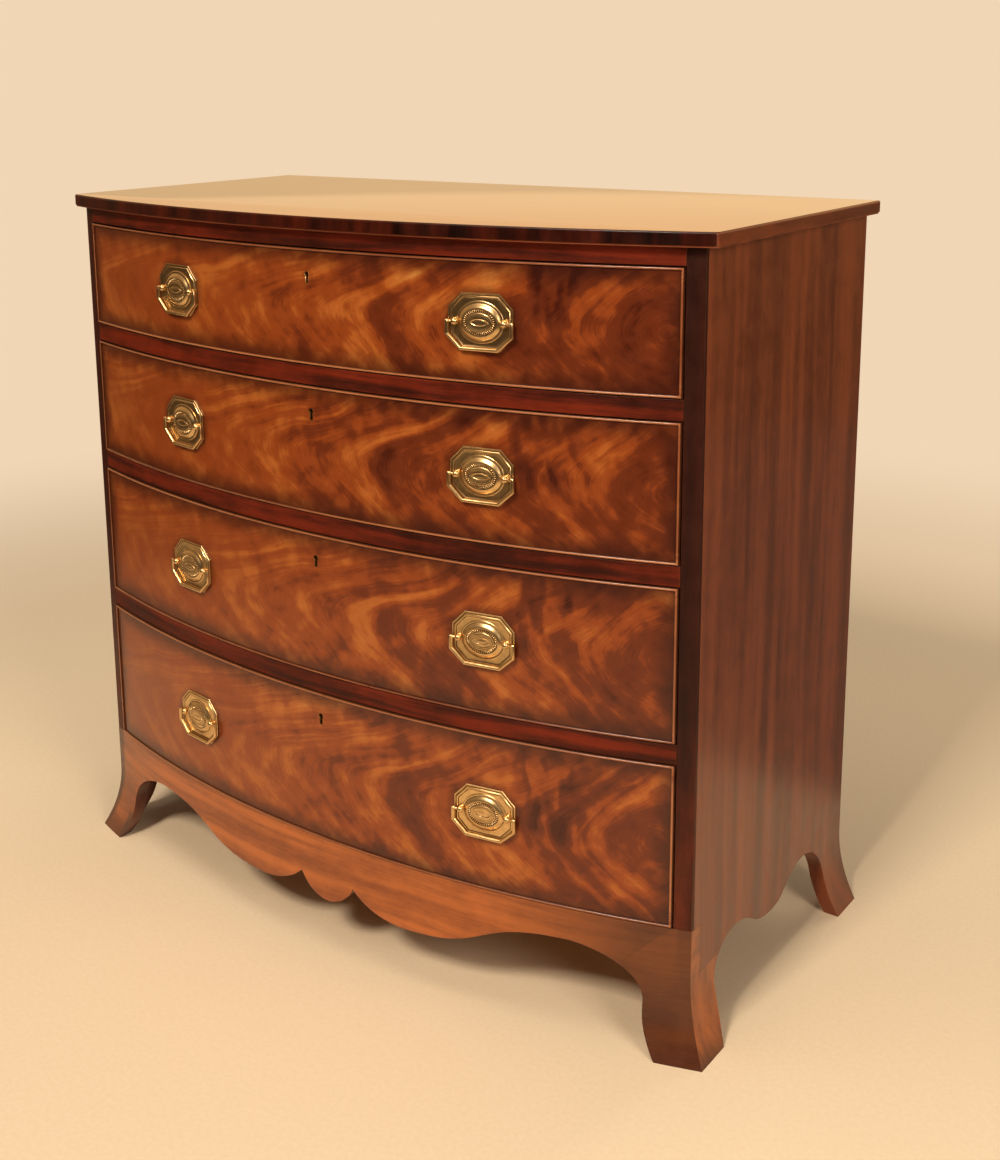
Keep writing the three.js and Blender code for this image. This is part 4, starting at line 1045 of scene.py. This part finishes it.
class CHEST_OT_apron(Operator):
    """Makes the shaped apron and the two front feet"""

    bl_idname = "chest.apron"
    bl_label = "Apron and feet"

    def execute(self, context):
        self.make_apron()
        foot = self.make_foot()
        left = mirrored(foot, "bracket_foot_left")
        for obj, where, seed in ((foot, "right", 11), (left, "left", 12)):
            # The outer face has the grain of the side board above it
            lay_grain(obj, along_z, seed, "side_grain")
            note(obj, "stain", [self.foot_darkening_and_painted_shade(v.co, abs(v.normal.x) < 0.6) for v in obj.data.vertices])
            for name in ("apron", "foot_side"):
                obj.data.materials.append(materials[name])
            for face in obj.data.polygons:
                face.material_index = 1 if abs(face.normal.x) > 0.7 else 0
            finish(obj, self.down_foot, 20, "apron", "case", "apron_mahogany", f"foot_front_{where}")
        return {"FINISHED"}

    def down_foot(self, co):
        """The apron's grain runs on over the mitre, and its figure is drawn out down the foot."""
        along, height, depth = along_bow(co)
        return (along, max(height, FOOT_JOIN) + 0.3 * min(0.0, height - FOOT_JOIN), depth)

    def foot_darkening_and_painted_shade(self, co, is_front):
        """Darker where the stile runs down the corner of a foot, towards its toe and off its front face;
        the darkening at the inner edge of the front and over the whole front of the right foot is painted
        shade.
        """
        toe = TOE_DARKENING * clamped(1 - co.z / TOE_HEIGHT)
        if not is_front or co.y > CASE_FRONT + 10 * MM:
            return max(toe, 0.2)
        out = abs(co.x) - SIDE_FLARE * flare(co.z) - OPENING_HALF
        corner = 0.75 * clamped((out - 10 * MM * (1 - co.z / PLINTH)) / (6 * MM))
        # Painted shade at the inner edge of the front, near the toe
        inner = 0.8 * clamped((-24 * MM - out) / (8 * MM)) * clamped(2 - co.z / TOE_HEIGHT)
        # Painted shade over the whole front of the right foot; both feet grow darker towards the floor
        whole = (RIGHT_FOOT_PAINTED_SHADE if co.x > 0 else 0.0) + 0.12 * clamped(1.4 - co.z / FOOT_JOIN)
        return max(corner, toe, inner, whole)

    def make_apron(self):
        crossing = OPENING_HALF - MITRE_REACH
        right = [(x, z) for x, z in sorted(apron_edge()) if x < crossing + 10 * MM]
        xs = sorted({*[x for x, _ in right],
                     *spread(crossing - 6 * MM, OPENING_HALF - FIT_GAP, BOW_STEPS)})
        line = [(x, max(self.edge_height(right, x), self.mitre_height(x))) for x in xs]
        whole = [*[(-x, z) for x, z in reversed(line[1:])], *line]
        soft = sizes().arris
        rings = []
        for x, low in whole:
            low = min(low, PLINTH - 0.5 * MM)
            ease = min(soft, (PLINTH - low) / 3)
            front, back = bow_y(x), bow_y(x, APRON_THICK)
            upright = PLINTH - low - ease
            rings.append([
                (x, back, low), (x, front + ease, low), (x, front + ease * 0.3, low + ease * 0.3),
                *[(x, front, low + ease + upright * share) for share in (0.0, 0.06, 0.2, 0.6)],
                (x, front, PLINTH), (x, back, PLINTH)])
        apron = smooth(loft("shaped_apron", rings), 40)
        # Painted shade darkens the apron towards its right end
        note(apron, "stain", [APRON_PAINTED_SHADE * clamped((v.co.x - APRON_DARK_FROM) / APRON_DARK_OVER)
                              for v in apron.data.vertices])
        finish(apron, along_bow, 20, "apron", "case", "apron_mahogany", "apron")

    def edge_height(self, line, x):
        for (x0, z0), (x1, z1) in zip(line, line[1:]):
            if x0 <= x <= x1:
                return z0 + (z1 - z0) * (x - x0) / (x1 - x0)
        return line[-1][1] if x > line[-1][0] else line[0][1]

    def mitre_height(self, x):
        return PLINTH - (OPENING_HALF - FIT_GAP - x) * MITRE_FALL / MITRE_REACH

    def make_foot(self):
        wing = OPENING_HALF - MITRE_REACH - OVERRUN
        inner = CASE_HALF - FOOT_THICK
        side_end = CASE_FRONT + SIDE_PEAK_FRONT
        rings = []
        for z in [*spread(0, FLARE_HEIGHT, FLARE_STEPS), PLINTH]:
            out, forward = SIDE_FLARE * flare(z), FRONT_FLARE * flare(z)
            section = [
                *[(x, bow_y(x)) for x in (*spread(wing, OPENING_HALF - 4 * MM, 10),
                                          *spread(OPENING_HALF, CASE_HALF, EDGE_STEPS))],
                (CASE_HALF, side_end), (inner, side_end),
                (inner, CASE_FRONT + APRON_THICK + FOOT_BLOCK),
                (inner - FOOT_BLOCK, bow_y(inner - FOOT_BLOCK, APRON_THICK)),
                (wing, bow_y(wing, APRON_THICK))]
            rings.append([(x + out, y - forward, z) for x, y in section])
        foot = loft("bracket_foot_right", rings)
        reach = CASE_HALF + SIDE_FLARE + OVERRUN
        front = apron_low.y - FRONT_FLARE - OVERRUN
        carve(foot, prism_front("outline", front_silhouette(), front, CASE_BACK), "INTERSECT")
        carve(foot, prism_side("outline", side_silhouette(), 0, reach), "INTERSECT")
        carve(foot, foot_side(0), "INTERSECT")
        carve(foot, foot_mitre(0), "INTERSECT")
        plan = [*[(x, bow_y(x, APRON_THICK)) for x in spread(0, OPENING_HALF, BOW_STEPS)],
                (OPENING_HALF, CASE_BACK), (0, CASE_BACK)]
        carve(foot, loft("bottom", [[(x, y, z) for x, y in plan]
                                    for z in (PLINTH - BOTTOM_THICK - FIT_GAP, PLINTH + OVERRUN)]))
        return soften(foot, 1.0 * MM)


class CHEST_OT_carcass(Operator):
    """Makes the case bottom and the back boards"""

    bl_idname = "chest.carcass"
    bl_label = "Bottom and back"

    def execute(self, context):
        for node, place, seed in (("case_bottom", along_x, 31), ("back_boards", self.along_boards, 32)):
            obj = soften(copied(node, f"{node}_timber"), sizes().arris)
            finish(obj, place, seed, "pine", "case", "pine", node)
            if node == "back_boards":
                self.shade_grooves(obj)
        return {"FINISHED"}

    def shade_grooves(self, obj):
        """Painted shade at the bottom of the grooves between the back boards, marked as hollow for the pine
        to darken.
        """
        hollow = obj.data.attributes["hollow"].data
        for v in obj.data.vertices:
            if abs(back_high.y - GROOVE_DEPTH - v.co.y) < 0.4 * MM:
                hollow[v.index].value = 0.5

    def along_boards(self, co):
        """Grain that starts anew in each back board."""
        board = round((co.x - back_low.x) / (back_high.x - back_low.x) * BACK_BOARDS - 0.5)
        return (co.z + 0.7 * board, co.x + 1.3 * board, co.y)


def keyhole(middle, wall, steps=24):
    """Keyhole outline round a point on its axis, grown outwards by a wall."""
    radius, half = KEY_HEAD + wall, KEY_SLOT / 2 + wall
    leave = math.asin(half / radius)
    points = []
    for share in spread(0, 1, steps):
        turn = -math.pi / 2 + leave + (2 * math.pi - 2 * leave) * share
        points.append((radius * math.cos(turn), middle + radius * math.sin(turn)))
    foot = middle - KEY_LENGTH - wall
    return [*points, (-half, foot), (half, foot)]


class CHEST_OT_fronts(Operator):
    """Makes the four veneered drawer fronts with their cock beads and keyholes"""

    bl_idname = "chest.fronts"
    bl_label = "Drawer fronts"

    def execute(self, context):
        for row in ROWS:
            low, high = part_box(f"drawer_{row}_front")
            self.make_front(row, low.z, high.z, high.x)
            self.make_bead(row, low.z, high.z, high.x)
            self.make_keyhole(row, high.z)
        return {"FINISHED"}

    def make_front(self, row, low, high, half):
        skin, apex = 0.1 * MM, apron_low.y
        front = bowed_bar(f"drawer_{row}_veneered_front", half - skin, FRONT_THICK, low + skin, high - skin,
                          materials["flame"])
        inner = apex + FRONT_THICK
        pocket = LOCK_WIDTH / 2 + FIT_GAP
        carve(front, block("pocket", -pocket, pocket, inner - LOCK_DEPTH - FIT_GAP, inner + OVERRUN,
                           high - LOCK_DROP - LOCK_HEIGHT - FIT_GAP, high + OVERRUN))
        carve(front, prism_front("key", keyhole(high - KEY_DROP, 0), apex - OVERRUN, inner + OVERRUN))
        carve(front, prism_front("lining", keyhole(high - KEY_DROP, KEY_WALL), apex - OVERRUN,
                                 apex + KEY_DEPTH))
        smooth(front, 30)
        middle = (low + high) / 2
        bead = sizes().bead_width
        self.split_face(front, low + bead, high - bead, half - bead, middle, row)
        front.data.materials.append(materials["oak"])
        for face in front.data.polygons:
            if abs(bow_y(face.center.x) - face.center.y) > 1 * MM or face.normal.y > -0.8:
                face.material_index = 1
        body = f"drawer_{row}"
        finish(front, along_bow, 40 + row, "flame", body, "flame_mahogany", f"{body}_front")

    def split_face(self, front, low, high, half, middle, row):
        """Cuts the face into cells, so that the painted shade along the rim can be noted at its points."""
        made = bmesh.new()
        made.from_mesh(front.data)
        heights = sorted({low, high, middle, *[low + m for m in RIM_MARGINS],
                          *[high - m for m in RIM_MARGINS]})
        planes = [*[((0, 0, z), (0, 0, 1)) for z in heights],
                  *[((side * (half - m), 0, 0), (1, 0, 0)) for side in SIDES for m in (0, *RIM_MARGINS)]]
        for place, normal in planes:
            cells = [*made.verts, *made.edges, *made.faces]
            bmesh.ops.bisect_plane(made, geom=cells, plane_co=place, plane_no=normal, dist=1e-6)
        made.to_mesh(front.data)
        made.free()
        points = front.data.vertices
        note(front, "veneer", [(arc(v.co.x), v.co.z - middle, 0.06 * row) for v in points])
        # Distance from the bead, read by the veneer's painted shade along the rim
        note(front, "rim", [max(0.0, min(v.co.z - low, high - v.co.z, half - abs(v.co.x)))
                            for v in points])

    def make_bead(self, row, low, high, half):
        """A half-round strip let into the rim of the front, mitred at the corners."""
        fine = sizes()
        radius = fine.bead_width / 2
        profile = [(0.0, -BEAD_ROOT)]
        for turn in spread(0, math.pi, 12):
            profile.append((radius - radius * math.cos(turn),
                            fine.bead_proud - radius + radius * math.sin(turn)))
        profile.append((fine.bead_width, -BEAD_ROOT))
        columns = spread(-1, 1, fine.bow_columns)
        rises = spread(-1, 1, 10)
        rings = [self.loop(low + u, high - u, half - u, out, columns, rises) for u, out in profile]
        bead = loft(f"drawer_{row}_cock_bead", rings, closed=True)
        smooth(bead, 40)
        middle = (low + high) / 2
        upright = half - 2 * fine.bead_width
        nose = fine.bead_proud - 0.4 * MM
        # Painted shade on the flanks below the bead's nose, so that only the nose stays pale as a painted
        # highlight
        note(bead, "stain", [0.8 * clamped((nose - bow_y(v.co.x) + v.co.y + 0.3 * MM) / (0.5 * MM))
                             for v in bead.data.vertices])
        finish(bead, lambda co: upright_x(co) if abs(co.x) > upright and
               abs(co.z - middle) < (high - low) / 2 - 3.5 * MM else along_bow(co), 50 + row, "bead",
               f"drawer_{row}", "mahogany")

    def loop(self, low, high, half, out, columns, rises):
        """Points round the front at one depth, counter-clockwise from the lower left corner."""
        middle, rise = (low + high) / 2, (high - low) / 2
        across = [half * share for share in columns]
        up = [middle + rise * share for share in rises]
        points = [(x, low) for x in across[:-1]]
        points += [(half, z) for z in up[:-1]]
        points += [(x, high) for x in reversed(across[1:])]
        points += [(-half, z) for z in reversed(up[1:])]
        return [(x, bow_y(x, -out), z) for x, z in points]

    def make_keyhole(self, row, high):
        """Brass thread that lines the keyhole, its edge rounded and just proud."""
        middle = high - KEY_DROP
        face = apron_low.y
        profile = [(0.0, KEY_DEPTH), (0.0, 0.1 * MM), (0.25 * MM, -0.3 * MM), (0.75 * MM, -0.3 * MM),
                   (KEY_WALL, 0.1 * MM), (KEY_WALL, KEY_DEPTH)]
        rings = [[(x, face + depth, z) for x, z in keyhole(middle, wall)] for wall, depth in profile]
        lining = smooth(loft(f"drawer_{row}_keyhole_lining", rings, closed=True), 40)
        mark_hollows(lining)
        metal = "brass" if row == 1 else "dull_brass"
        dress(lining, metal, f"drawer_{row}", "brass", f"drawer_{row}_escutcheon")


class CHEST_OT_boxes(Operator):
    """Makes the oak sides, backs and bottoms of the drawers"""

    bl_idname = "chest.boxes"
    bl_label = "Drawer boxes"

    def execute(self, context):
        grains = (("side_left", along_y), ("side_right", along_y), ("back", along_x), ("bottom", along_x))
        for row in ROWS:
            for place, (part, grain) in enumerate(grains):
                node = f"drawer_{row}_{part}"
                obj = soften(copied(node, f"{node}_oak"), 0.4 * MM)
                lay_grain(obj, grain, 60 + 4 * row + place)
                dress(obj, "oak", f"drawer_{row}", "oak", node)
        return {"FINISHED"}


class CHEST_OT_locks(Operator):
    """Makes the lock cases and their bolts"""

    bl_idname = "chest.locks"
    bl_label = "Locks"

    def execute(self, context):
        for row in ROWS:
            for part, body in (("lock_case", f"drawer_{row}"), ("lock_bolt", f"drawer_{row}_bolt")):
                node = f"drawer_{row}_{part}"
                obj = soften(copied(node, f"{node}_iron"), 0.4 * MM)
                mark_hollows(obj)
                dress(obj, "steel", body, "lock_steel", node)
        return {"FINISHED"}


class CHEST_OT_handles(Operator):
    """Makes the octagonal handle plates with their posts, ovals and bails"""

    bl_idname = "chest.handles"
    bl_label = "Handles"

    def execute(self, context):
        plate = joined("plate", [self.make_plate(), self.make_dome(), self.make_eye(),
                                 *[self.make_post(side) for side in SIDES]])
        nuts = joined("nuts", [self.make_nut(side) for side in SIDES])
        rays = run_shape(ray_ring_tree(), "rays", {
            "Half width": DOME_WIDTH / 2 * RAY_SHARE,
            "Half height": DOME_HEIGHT / 2 * RAY_SHARE - DOME_SLIM * (1 - RAY_SHARE),
            "Ray length": sizes().ray_length, "Ray width": sizes().ray_width,
            "Reach": 5.9 * MM, "Count": sizes().ray_count, "Material": materials["brass"]})
        bail = self.make_bail()
        for obj in (plate, rays, bail):
            smooth(obj, 32)
        for obj in (plate, rays, bail, nuts):
            mark_hollows(obj)
        for row in ROWS:
            low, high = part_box(f"drawer_{row}_front")
            for side in SIDES:
                angle = side * math.asin(HANDLE_OUT / BOW_RADIUS)
                place = Matrix.Translation((side * HANDLE_OUT, bow_y(HANDLE_OUT), (low.z + high.z) / 2))
                place = place @ Matrix.Rotation(angle, 4, "Z")
                body = f"drawer_{row}"
                node, bail_node = (f"{body}_{part}_{WHERE[side]}" for part in ("plate", "bail"))
                self.placed(plate, node + "_brass", place, "brass", body, node)
                self.placed(rays, f"{body}_oval_rays_{WHERE[side]}", place, "brass", body)
                self.placed(nuts, f"{body}_nuts_{WHERE[side]}", place, "dull_brass", body)
                self.placed(bail, bail_node + "_brass", place, "brass", bail_node, bail_node)
        for template in (plate, rays, bail, nuts):
            bpy.data.objects.remove(template)
        return {"FINISHED"}

    def placed(self, template, name, place, metal, body, *nodes):
        mesh = template.data.copy()
        mesh.transform(place)
        mesh.materials.clear()
        dress(linked(name, mesh), metal, body, "brass", *nodes)

    def octagon(self, inset):
        half_width, half_height = PLATE_WIDTH / 2 - inset, PLATE_HEIGHT / 2 - inset
        top, side = PLATE_TOP / 2 - inset / 2, PLATE_SIDE / 2 - inset / 2
        quarter = [(top, half_height), (half_width, side)]
        lower = [(x, -z) for x, z in reversed(quarter)]
        right = [*quarter, *lower]
        return [*right, *[(-x, -z) for x, z in right]]

    def make_plate(self):
        """Stamped octagon: rolled rim, channel, second step and flat field."""
        profile = [(0.0, 0.3), (0.0, 1.1), (0.3, 1.55), (0.9, 1.7), (1.5, 1.55), (1.9, 1.2),
                   (2.6, 1.1), (3.1, 1.25), (3.4, 1.9), (3.9, 2.4), (4.6, 2.5), (5.3, 2.3),
                   (5.8, 1.9), (6.8, 1.75), (9.0, 1.7)]
        return loft("plate", [[(x, -height * MM, z) for x, z in self.octagon(inset * MM)]
                              for inset, height in profile])

    def oval(self, half_width, half_height, out, point=0.0, x=0.0, steps=OVAL_STEPS):
        """One oval ring round the plate's normal; a point above zero draws its ends to a point."""
        ring = []
        for step in range(steps):
            turn = 2 * math.pi * step / steps
            rise = math.sin(turn) * abs(math.sin(turn)) ** point
            ring.append((x + half_width * math.cos(turn), -out, half_height * rise))
        return ring

    def make_dome(self):
        """Low oval dome with a fillet at its foot and a sunk band for the rays, slimmer in the middle."""
        profile = [
            (1.0, 1.7), (1.0, 2.2), (0.985, 2.6), (0.96, 2.75), (0.935, 2.65), (0.92, 2.5), (0.9, 2.65),
            (0.87, 3.3), (0.84, 4.0), (0.81, 4.65), (0.78, 5.2), (0.75, 5.6), (0.725, 5.8), (0.705, 5.75),
            (0.695, 5.6), (0.57, 5.95), (0.56, 6.2), (0.545, 6.4), (0.525, 6.4), (0.51, 6.2), (0.495, 6.15),
            (0.48, 6.35), (0.465, 6.4), (0.45, 6.25), (0.4, 6.3), (0.34, 6.4)]
        rings = []
        for share, height in profile:
            half_height = DOME_HEIGHT / 2 * share - DOME_SLIM * (1 - share)
            rings.append(self.oval(DOME_WIDTH / 2 * share, half_height, height * MM))
        return loft("dome", rings)

    def make_eye(self):
        """Narrow pointed oval in the middle with a raised rim."""
        profile = [(1.0, 6.0), (0.99, 6.5), (0.95, 6.85), (0.88, 7.0), (0.8, 6.9), (0.72, 6.5), (0.6, 6.35),
                   (0.35, 6.6), (0.1, 6.7)]
        return loft("eye", [self.oval(EYE_WIDTH / 2 * share, EYE_HEIGHT / 2 * share, height * MM, point=0.5)
                            for share, height in profile])

    def make_post(self, side):
        """Post with a thin collar and a ball head that holds the bail's pin."""
        profile = [(4.1 * MM, PLATE_FIELD - MM), (4.1 * MM, PLATE_FIELD - 0.1 * MM),
                   (3.8 * MM, PLATE_FIELD + 0.15 * MM), (3.1 * MM, PLATE_FIELD + 0.2 * MM)]
        for turn in spread(math.radians(-44), math.radians(89.5), 12):
            profile.append((POST_HEAD * math.cos(turn), POST_REACH + POST_HEAD * math.sin(turn)))
        middle = side * POST_SPACING / 2
        return loft("post", [self.oval(radius, radius, out, x=middle, steps=32) for radius, out in profile])

    def make_nut(self, side):
        """Square nut with softened corners on the end of a shank, inside the drawer."""
        x = side * POST_SPACING / 2
        face = FRONT_THICK + NUT_GAP
        half = NUT_WIDTH / 2
        nut = block("nut", x - half, x + half, face, face + NUT_THICK / 2, -half, half)
        soften(nut, 0.5 * MM)
        ring = [(x + SHANK_RADIUS * math.cos(turn), SHANK_RADIUS * math.sin(turn))
                for turn in spread(0, 2 * math.pi, 24)[:-1]]
        shank = loft("shank", [[(a, y, b) for a, b in ring]
                               for y in (FRONT_THICK - OVERRUN, face + NUT_THICK)])
        return joined("nut", [nut, smooth(shank)])

    def make_bail(self):
        """Half-octagon swing handle, round in section, on pins that enter the posts."""
        pin_in = POST_SPACING / 2 + POST_HEAD - PIN_BITE + PIN_CLEARANCE
        shoulder_x = BAIL_HALF - BAIL_ROD
        half = [((pin_in, 0.0), BAIL_PIN), ((shoulder_x - PIN_CLEARANCE, 0.0), BAIL_PIN),
                ((shoulder_x, 0.0), BAIL_ROD), ((BAIL_HALF, 0.0), BAIL_ROD),
                ((BAIL_HALF, -BAIL_ARM), BAIL_ROD), ((BAIL_BAR, -BAIL_DROP), BAIL_ROD)]
        path = [*[((-x, z), radius) for (x, z), radius in half], *reversed(half)]
        bail = loft("bail", [self.rod_ring(path, place) for place in range(len(path))])
        return soften(bail, 0.35 * MM, 2, 25)

    def rod_ring(self, path, place, steps=20):
        (x, z), radius = path[place]
        before, after = path[max(place - 1, 0)][0], path[min(place + 1, len(path) - 1)][0]
        into = Vector((x - before[0], z - before[1]))
        out = Vector((after[0] - x, after[1] - z))
        into = into.normalized() if into.length else out.normalized()
        out = out.normalized() if out.length else into
        across = Vector((-(into.y + out.y), into.x + out.x))
        cosine = across.length / 2
        across.normalize()
        ring = []
        for step in range(steps):
            turn = 2 * math.pi * (step + 0.5) / steps
            away = radius * math.cos(turn) / cosine
            ring.append((x + across.x * away, -POST_REACH + radius * math.sin(turn), z + across.y * away))
        return ring


class CHEST_OT_stage(Operator):
    """Sets up the plain floor, the background, the lamps and the camera"""

    bl_idname = "chest.stage"
    bl_label = "Stage"

    def execute(self, context):
        scene = context.scene
        scene.view_settings.view_transform = "Standard"
        self.make_floor()
        self.make_world(scene)
        self.make_lamps()
        self.make_camera(scene)
        return {"FINISHED"}

    def make_floor(self):
        """A round floor that takes the chest's shadow, passes into the plain background, and ends in a
        dim room where polish and metal mirror it."""
        material, add = new_material("plain_pale_floor")
        place = add("ShaderNodeTexCoord", out="Object")
        weave = add(NOISE, {"Vector": place, "Scale": 160.0, "Detail": 2.0})
        tone = add(BLEND, {0: weave, 6: colour(finishes().floor), 7: colour("#ecd2ae")})
        matt = add(PRINCIPLED, {"Base Color": tone, "Roughness": 0.9, "Specular IOR Level": 0.1})
        far = add(LENGTH, place)
        fade = add(EASED, far, 1.1, FLOOR_RADIUS * 0.85, 0.0, 1.0)
        path = add("ShaderNodeLightPath", out=None).outputs
        plain = add("ShaderNodeEmission", {"Color": colour(finishes().background)})
        shown = add("ShaderNodeMixShader", add(TIMES, fade, path["Is Camera Ray"]), matt, plain)
        behind = add(EASED, add(SPLIT, place, out="Y"), 0.5, 0.62, 0.0, 1.0)
        around = add(EASED, far, 1.0, 2.3, 0.0, 1.0)
        dim = add(TIMES, add(MOST, behind, around), path["Is Glossy Ray"])
        wall = add(BLEND, {0: behind, 6: colour("#352a21"), 7: colour("#75695a")})
        room = add("ShaderNodeEmission", {"Color": wall})
        close_material(add, add("ShaderNodeMixShader", dim, shown, room))
        rim = [(FLOOR_RADIUS * math.cos(turn), FLOOR_RADIUS * math.sin(turn), 0)
               for turn in spread(0, 2 * math.pi, 96)[:-1]]
        floor = piece("floor", rim, [tuple(range(len(rim)))])
        floor.data.materials.append(material)

    def make_world(self, scene):
        """Even light, and a background that polish and metal see too, dim towards the room in front."""
        world = bpy.data.worlds.new("studio")
        world.use_nodes = True
        world.node_tree.nodes.clear()
        add = partial(add_node, world.node_tree)
        path = add("ShaderNodeLightPath", out=None).outputs
        x, y, z = add(SPLIT, add("ShaderNodeTexCoord", out="Generated"), out=None).outputs
        lean = add(TIMES_PLUS, y, 0.45, 0.45)
        lean = add(TIMES_PLUS, x, -0.12, lean)
        lean = add(TIMES_PLUS, z, 0.1, lean, use_clamp=True)
        sky = add(RANGE, z, -0.06, 0.03, 0.12, 1.0)
        lean = add(TIMES, lean, sky)
        back = colour(finishes().background)
        shaded = add(BLEND, {0: lean, 6: colour("#241a13"), 7: colour("#ffd39b")})
        seen = add(BLEND, {0: path["Is Camera Ray"], 6: shaded, 7: back})
        mirror = add(MOST, path["Is Glossy Ray"], path["Is Transmission Ray"])
        shown = add(MOST, path["Is Camera Ray"], mirror)
        even = add("ShaderNodeBackground", {"Color": colour("#fff6ea"), "Strength": 0.1})
        plain = add("ShaderNodeBackground", {"Color": seen, "Strength": 1.0})
        add("ShaderNodeOutputWorld", add("ShaderNodeMixShader", shown, even, plain), out=None)
        scene.world = world

    def make_lamps(self):
        aim = Vector((0.0, 0.0, 0.5))
        lamps = (
            ("key_softbox", (0.3, -4.0, 4.3), 1.0, 208.0),
            ("side_softbox", (3.4, -1.6, 2.2), 1.4, 64.0),
            ("top_softbox", (-0.1, -0.5, 3.2), 1.6, 26.0),
            ("rear_softbox", (0.4, 3.4, 3.2), 1.6, 36.0),
        )
        for name, place, size, power in lamps:
            data = bpy.data.lights.new(name, "AREA")
            data.shape = "SQUARE"
            data.size = size
            data.energy = power
            data.color = linear(LAMP_TINT)
            lamp = linked(name, data)
            lamp.location = place
            lamp.rotation_euler = (aim - Vector(place)).to_track_quat("-Z", "Y").to_euler()
            # The rear lamp would glare in the polished top
            lamp.visible_glossy = name != "rear_softbox"

    def make_camera(self, scene):
        yaw, pitch, roll = (math.radians(a) for a in (CAMERA_YAW, CAMERA_PITCH, CAMERA_ROLL))
        forward = Vector((-math.sin(yaw) * math.cos(pitch), math.cos(yaw) * math.cos(pitch),
                          math.sin(pitch)))
        level = Vector((math.cos(yaw), math.sin(yaw), 0.0))
        up = level.cross(forward)
        right = math.cos(roll) * level + math.sin(roll) * up
        above = -math.sin(roll) * level + math.cos(roll) * up
        data = bpy.data.cameras.new("camera")
        data.sensor_width = SENSOR
        data.lens = FOCAL_PIXELS * SENSOR / IMAGE_HEIGHT
        data.shift_x = SHIFT_PIXELS[0] / IMAGE_HEIGHT
        data.shift_y = SHIFT_PIXELS[1] / IMAGE_HEIGHT
        camera = linked("camera", data)
        turn = Matrix((right, above, -forward)).transposed()
        camera.matrix_world = Matrix.Translation(CAMERA_PLACE) @ turn.to_4x4()
        scene.camera = camera


class CHEST_PT_panel(Panel):
    """Lists the steps that dress the chest, with their sizes and colours."""

    bl_label = "Bow Front Chest"
    bl_idname = "CHEST_PT_panel"
    bl_space_type = "VIEW_3D"
    bl_region_type = "UI"
    bl_category = "Chest"

    def draw(self, context):
        for step in STEPS:
            self.layout.operator(step.bl_idname)
        for group in (context.scene.chest_sizes, context.scene.chest_finishes):
            for name in group.__annotations__:
                self.layout.prop(group, name)


STEPS = (CHEST_OT_stage, CHEST_OT_top, CHEST_OT_rails, CHEST_OT_sides, CHEST_OT_apron, CHEST_OT_carcass,
         CHEST_OT_fronts, CHEST_OT_boxes, CHEST_OT_locks, CHEST_OT_handles)
CLASSES = (ChestSizes, ChestFinishes, *STEPS, CHEST_PT_panel)


def register():
    for cls in CLASSES:
        bpy.utils.register_class(cls)
    bpy.types.Scene.chest_sizes = PointerProperty(type=ChestSizes)
    bpy.types.Scene.chest_finishes = PointerProperty(type=ChestFinishes)


def unregister():
    del bpy.types.Scene.chest_finishes
    del bpy.types.Scene.chest_sizes
    for cls in reversed(CLASSES):
        bpy.utils.unregister_class(cls)


def main():
    register()
    make_materials(finishes())
    for step in STEPS:
        getattr(bpy.ops.chest, step.bl_idname.removeprefix("chest."))()


if __name__ == "__main__":
    main()
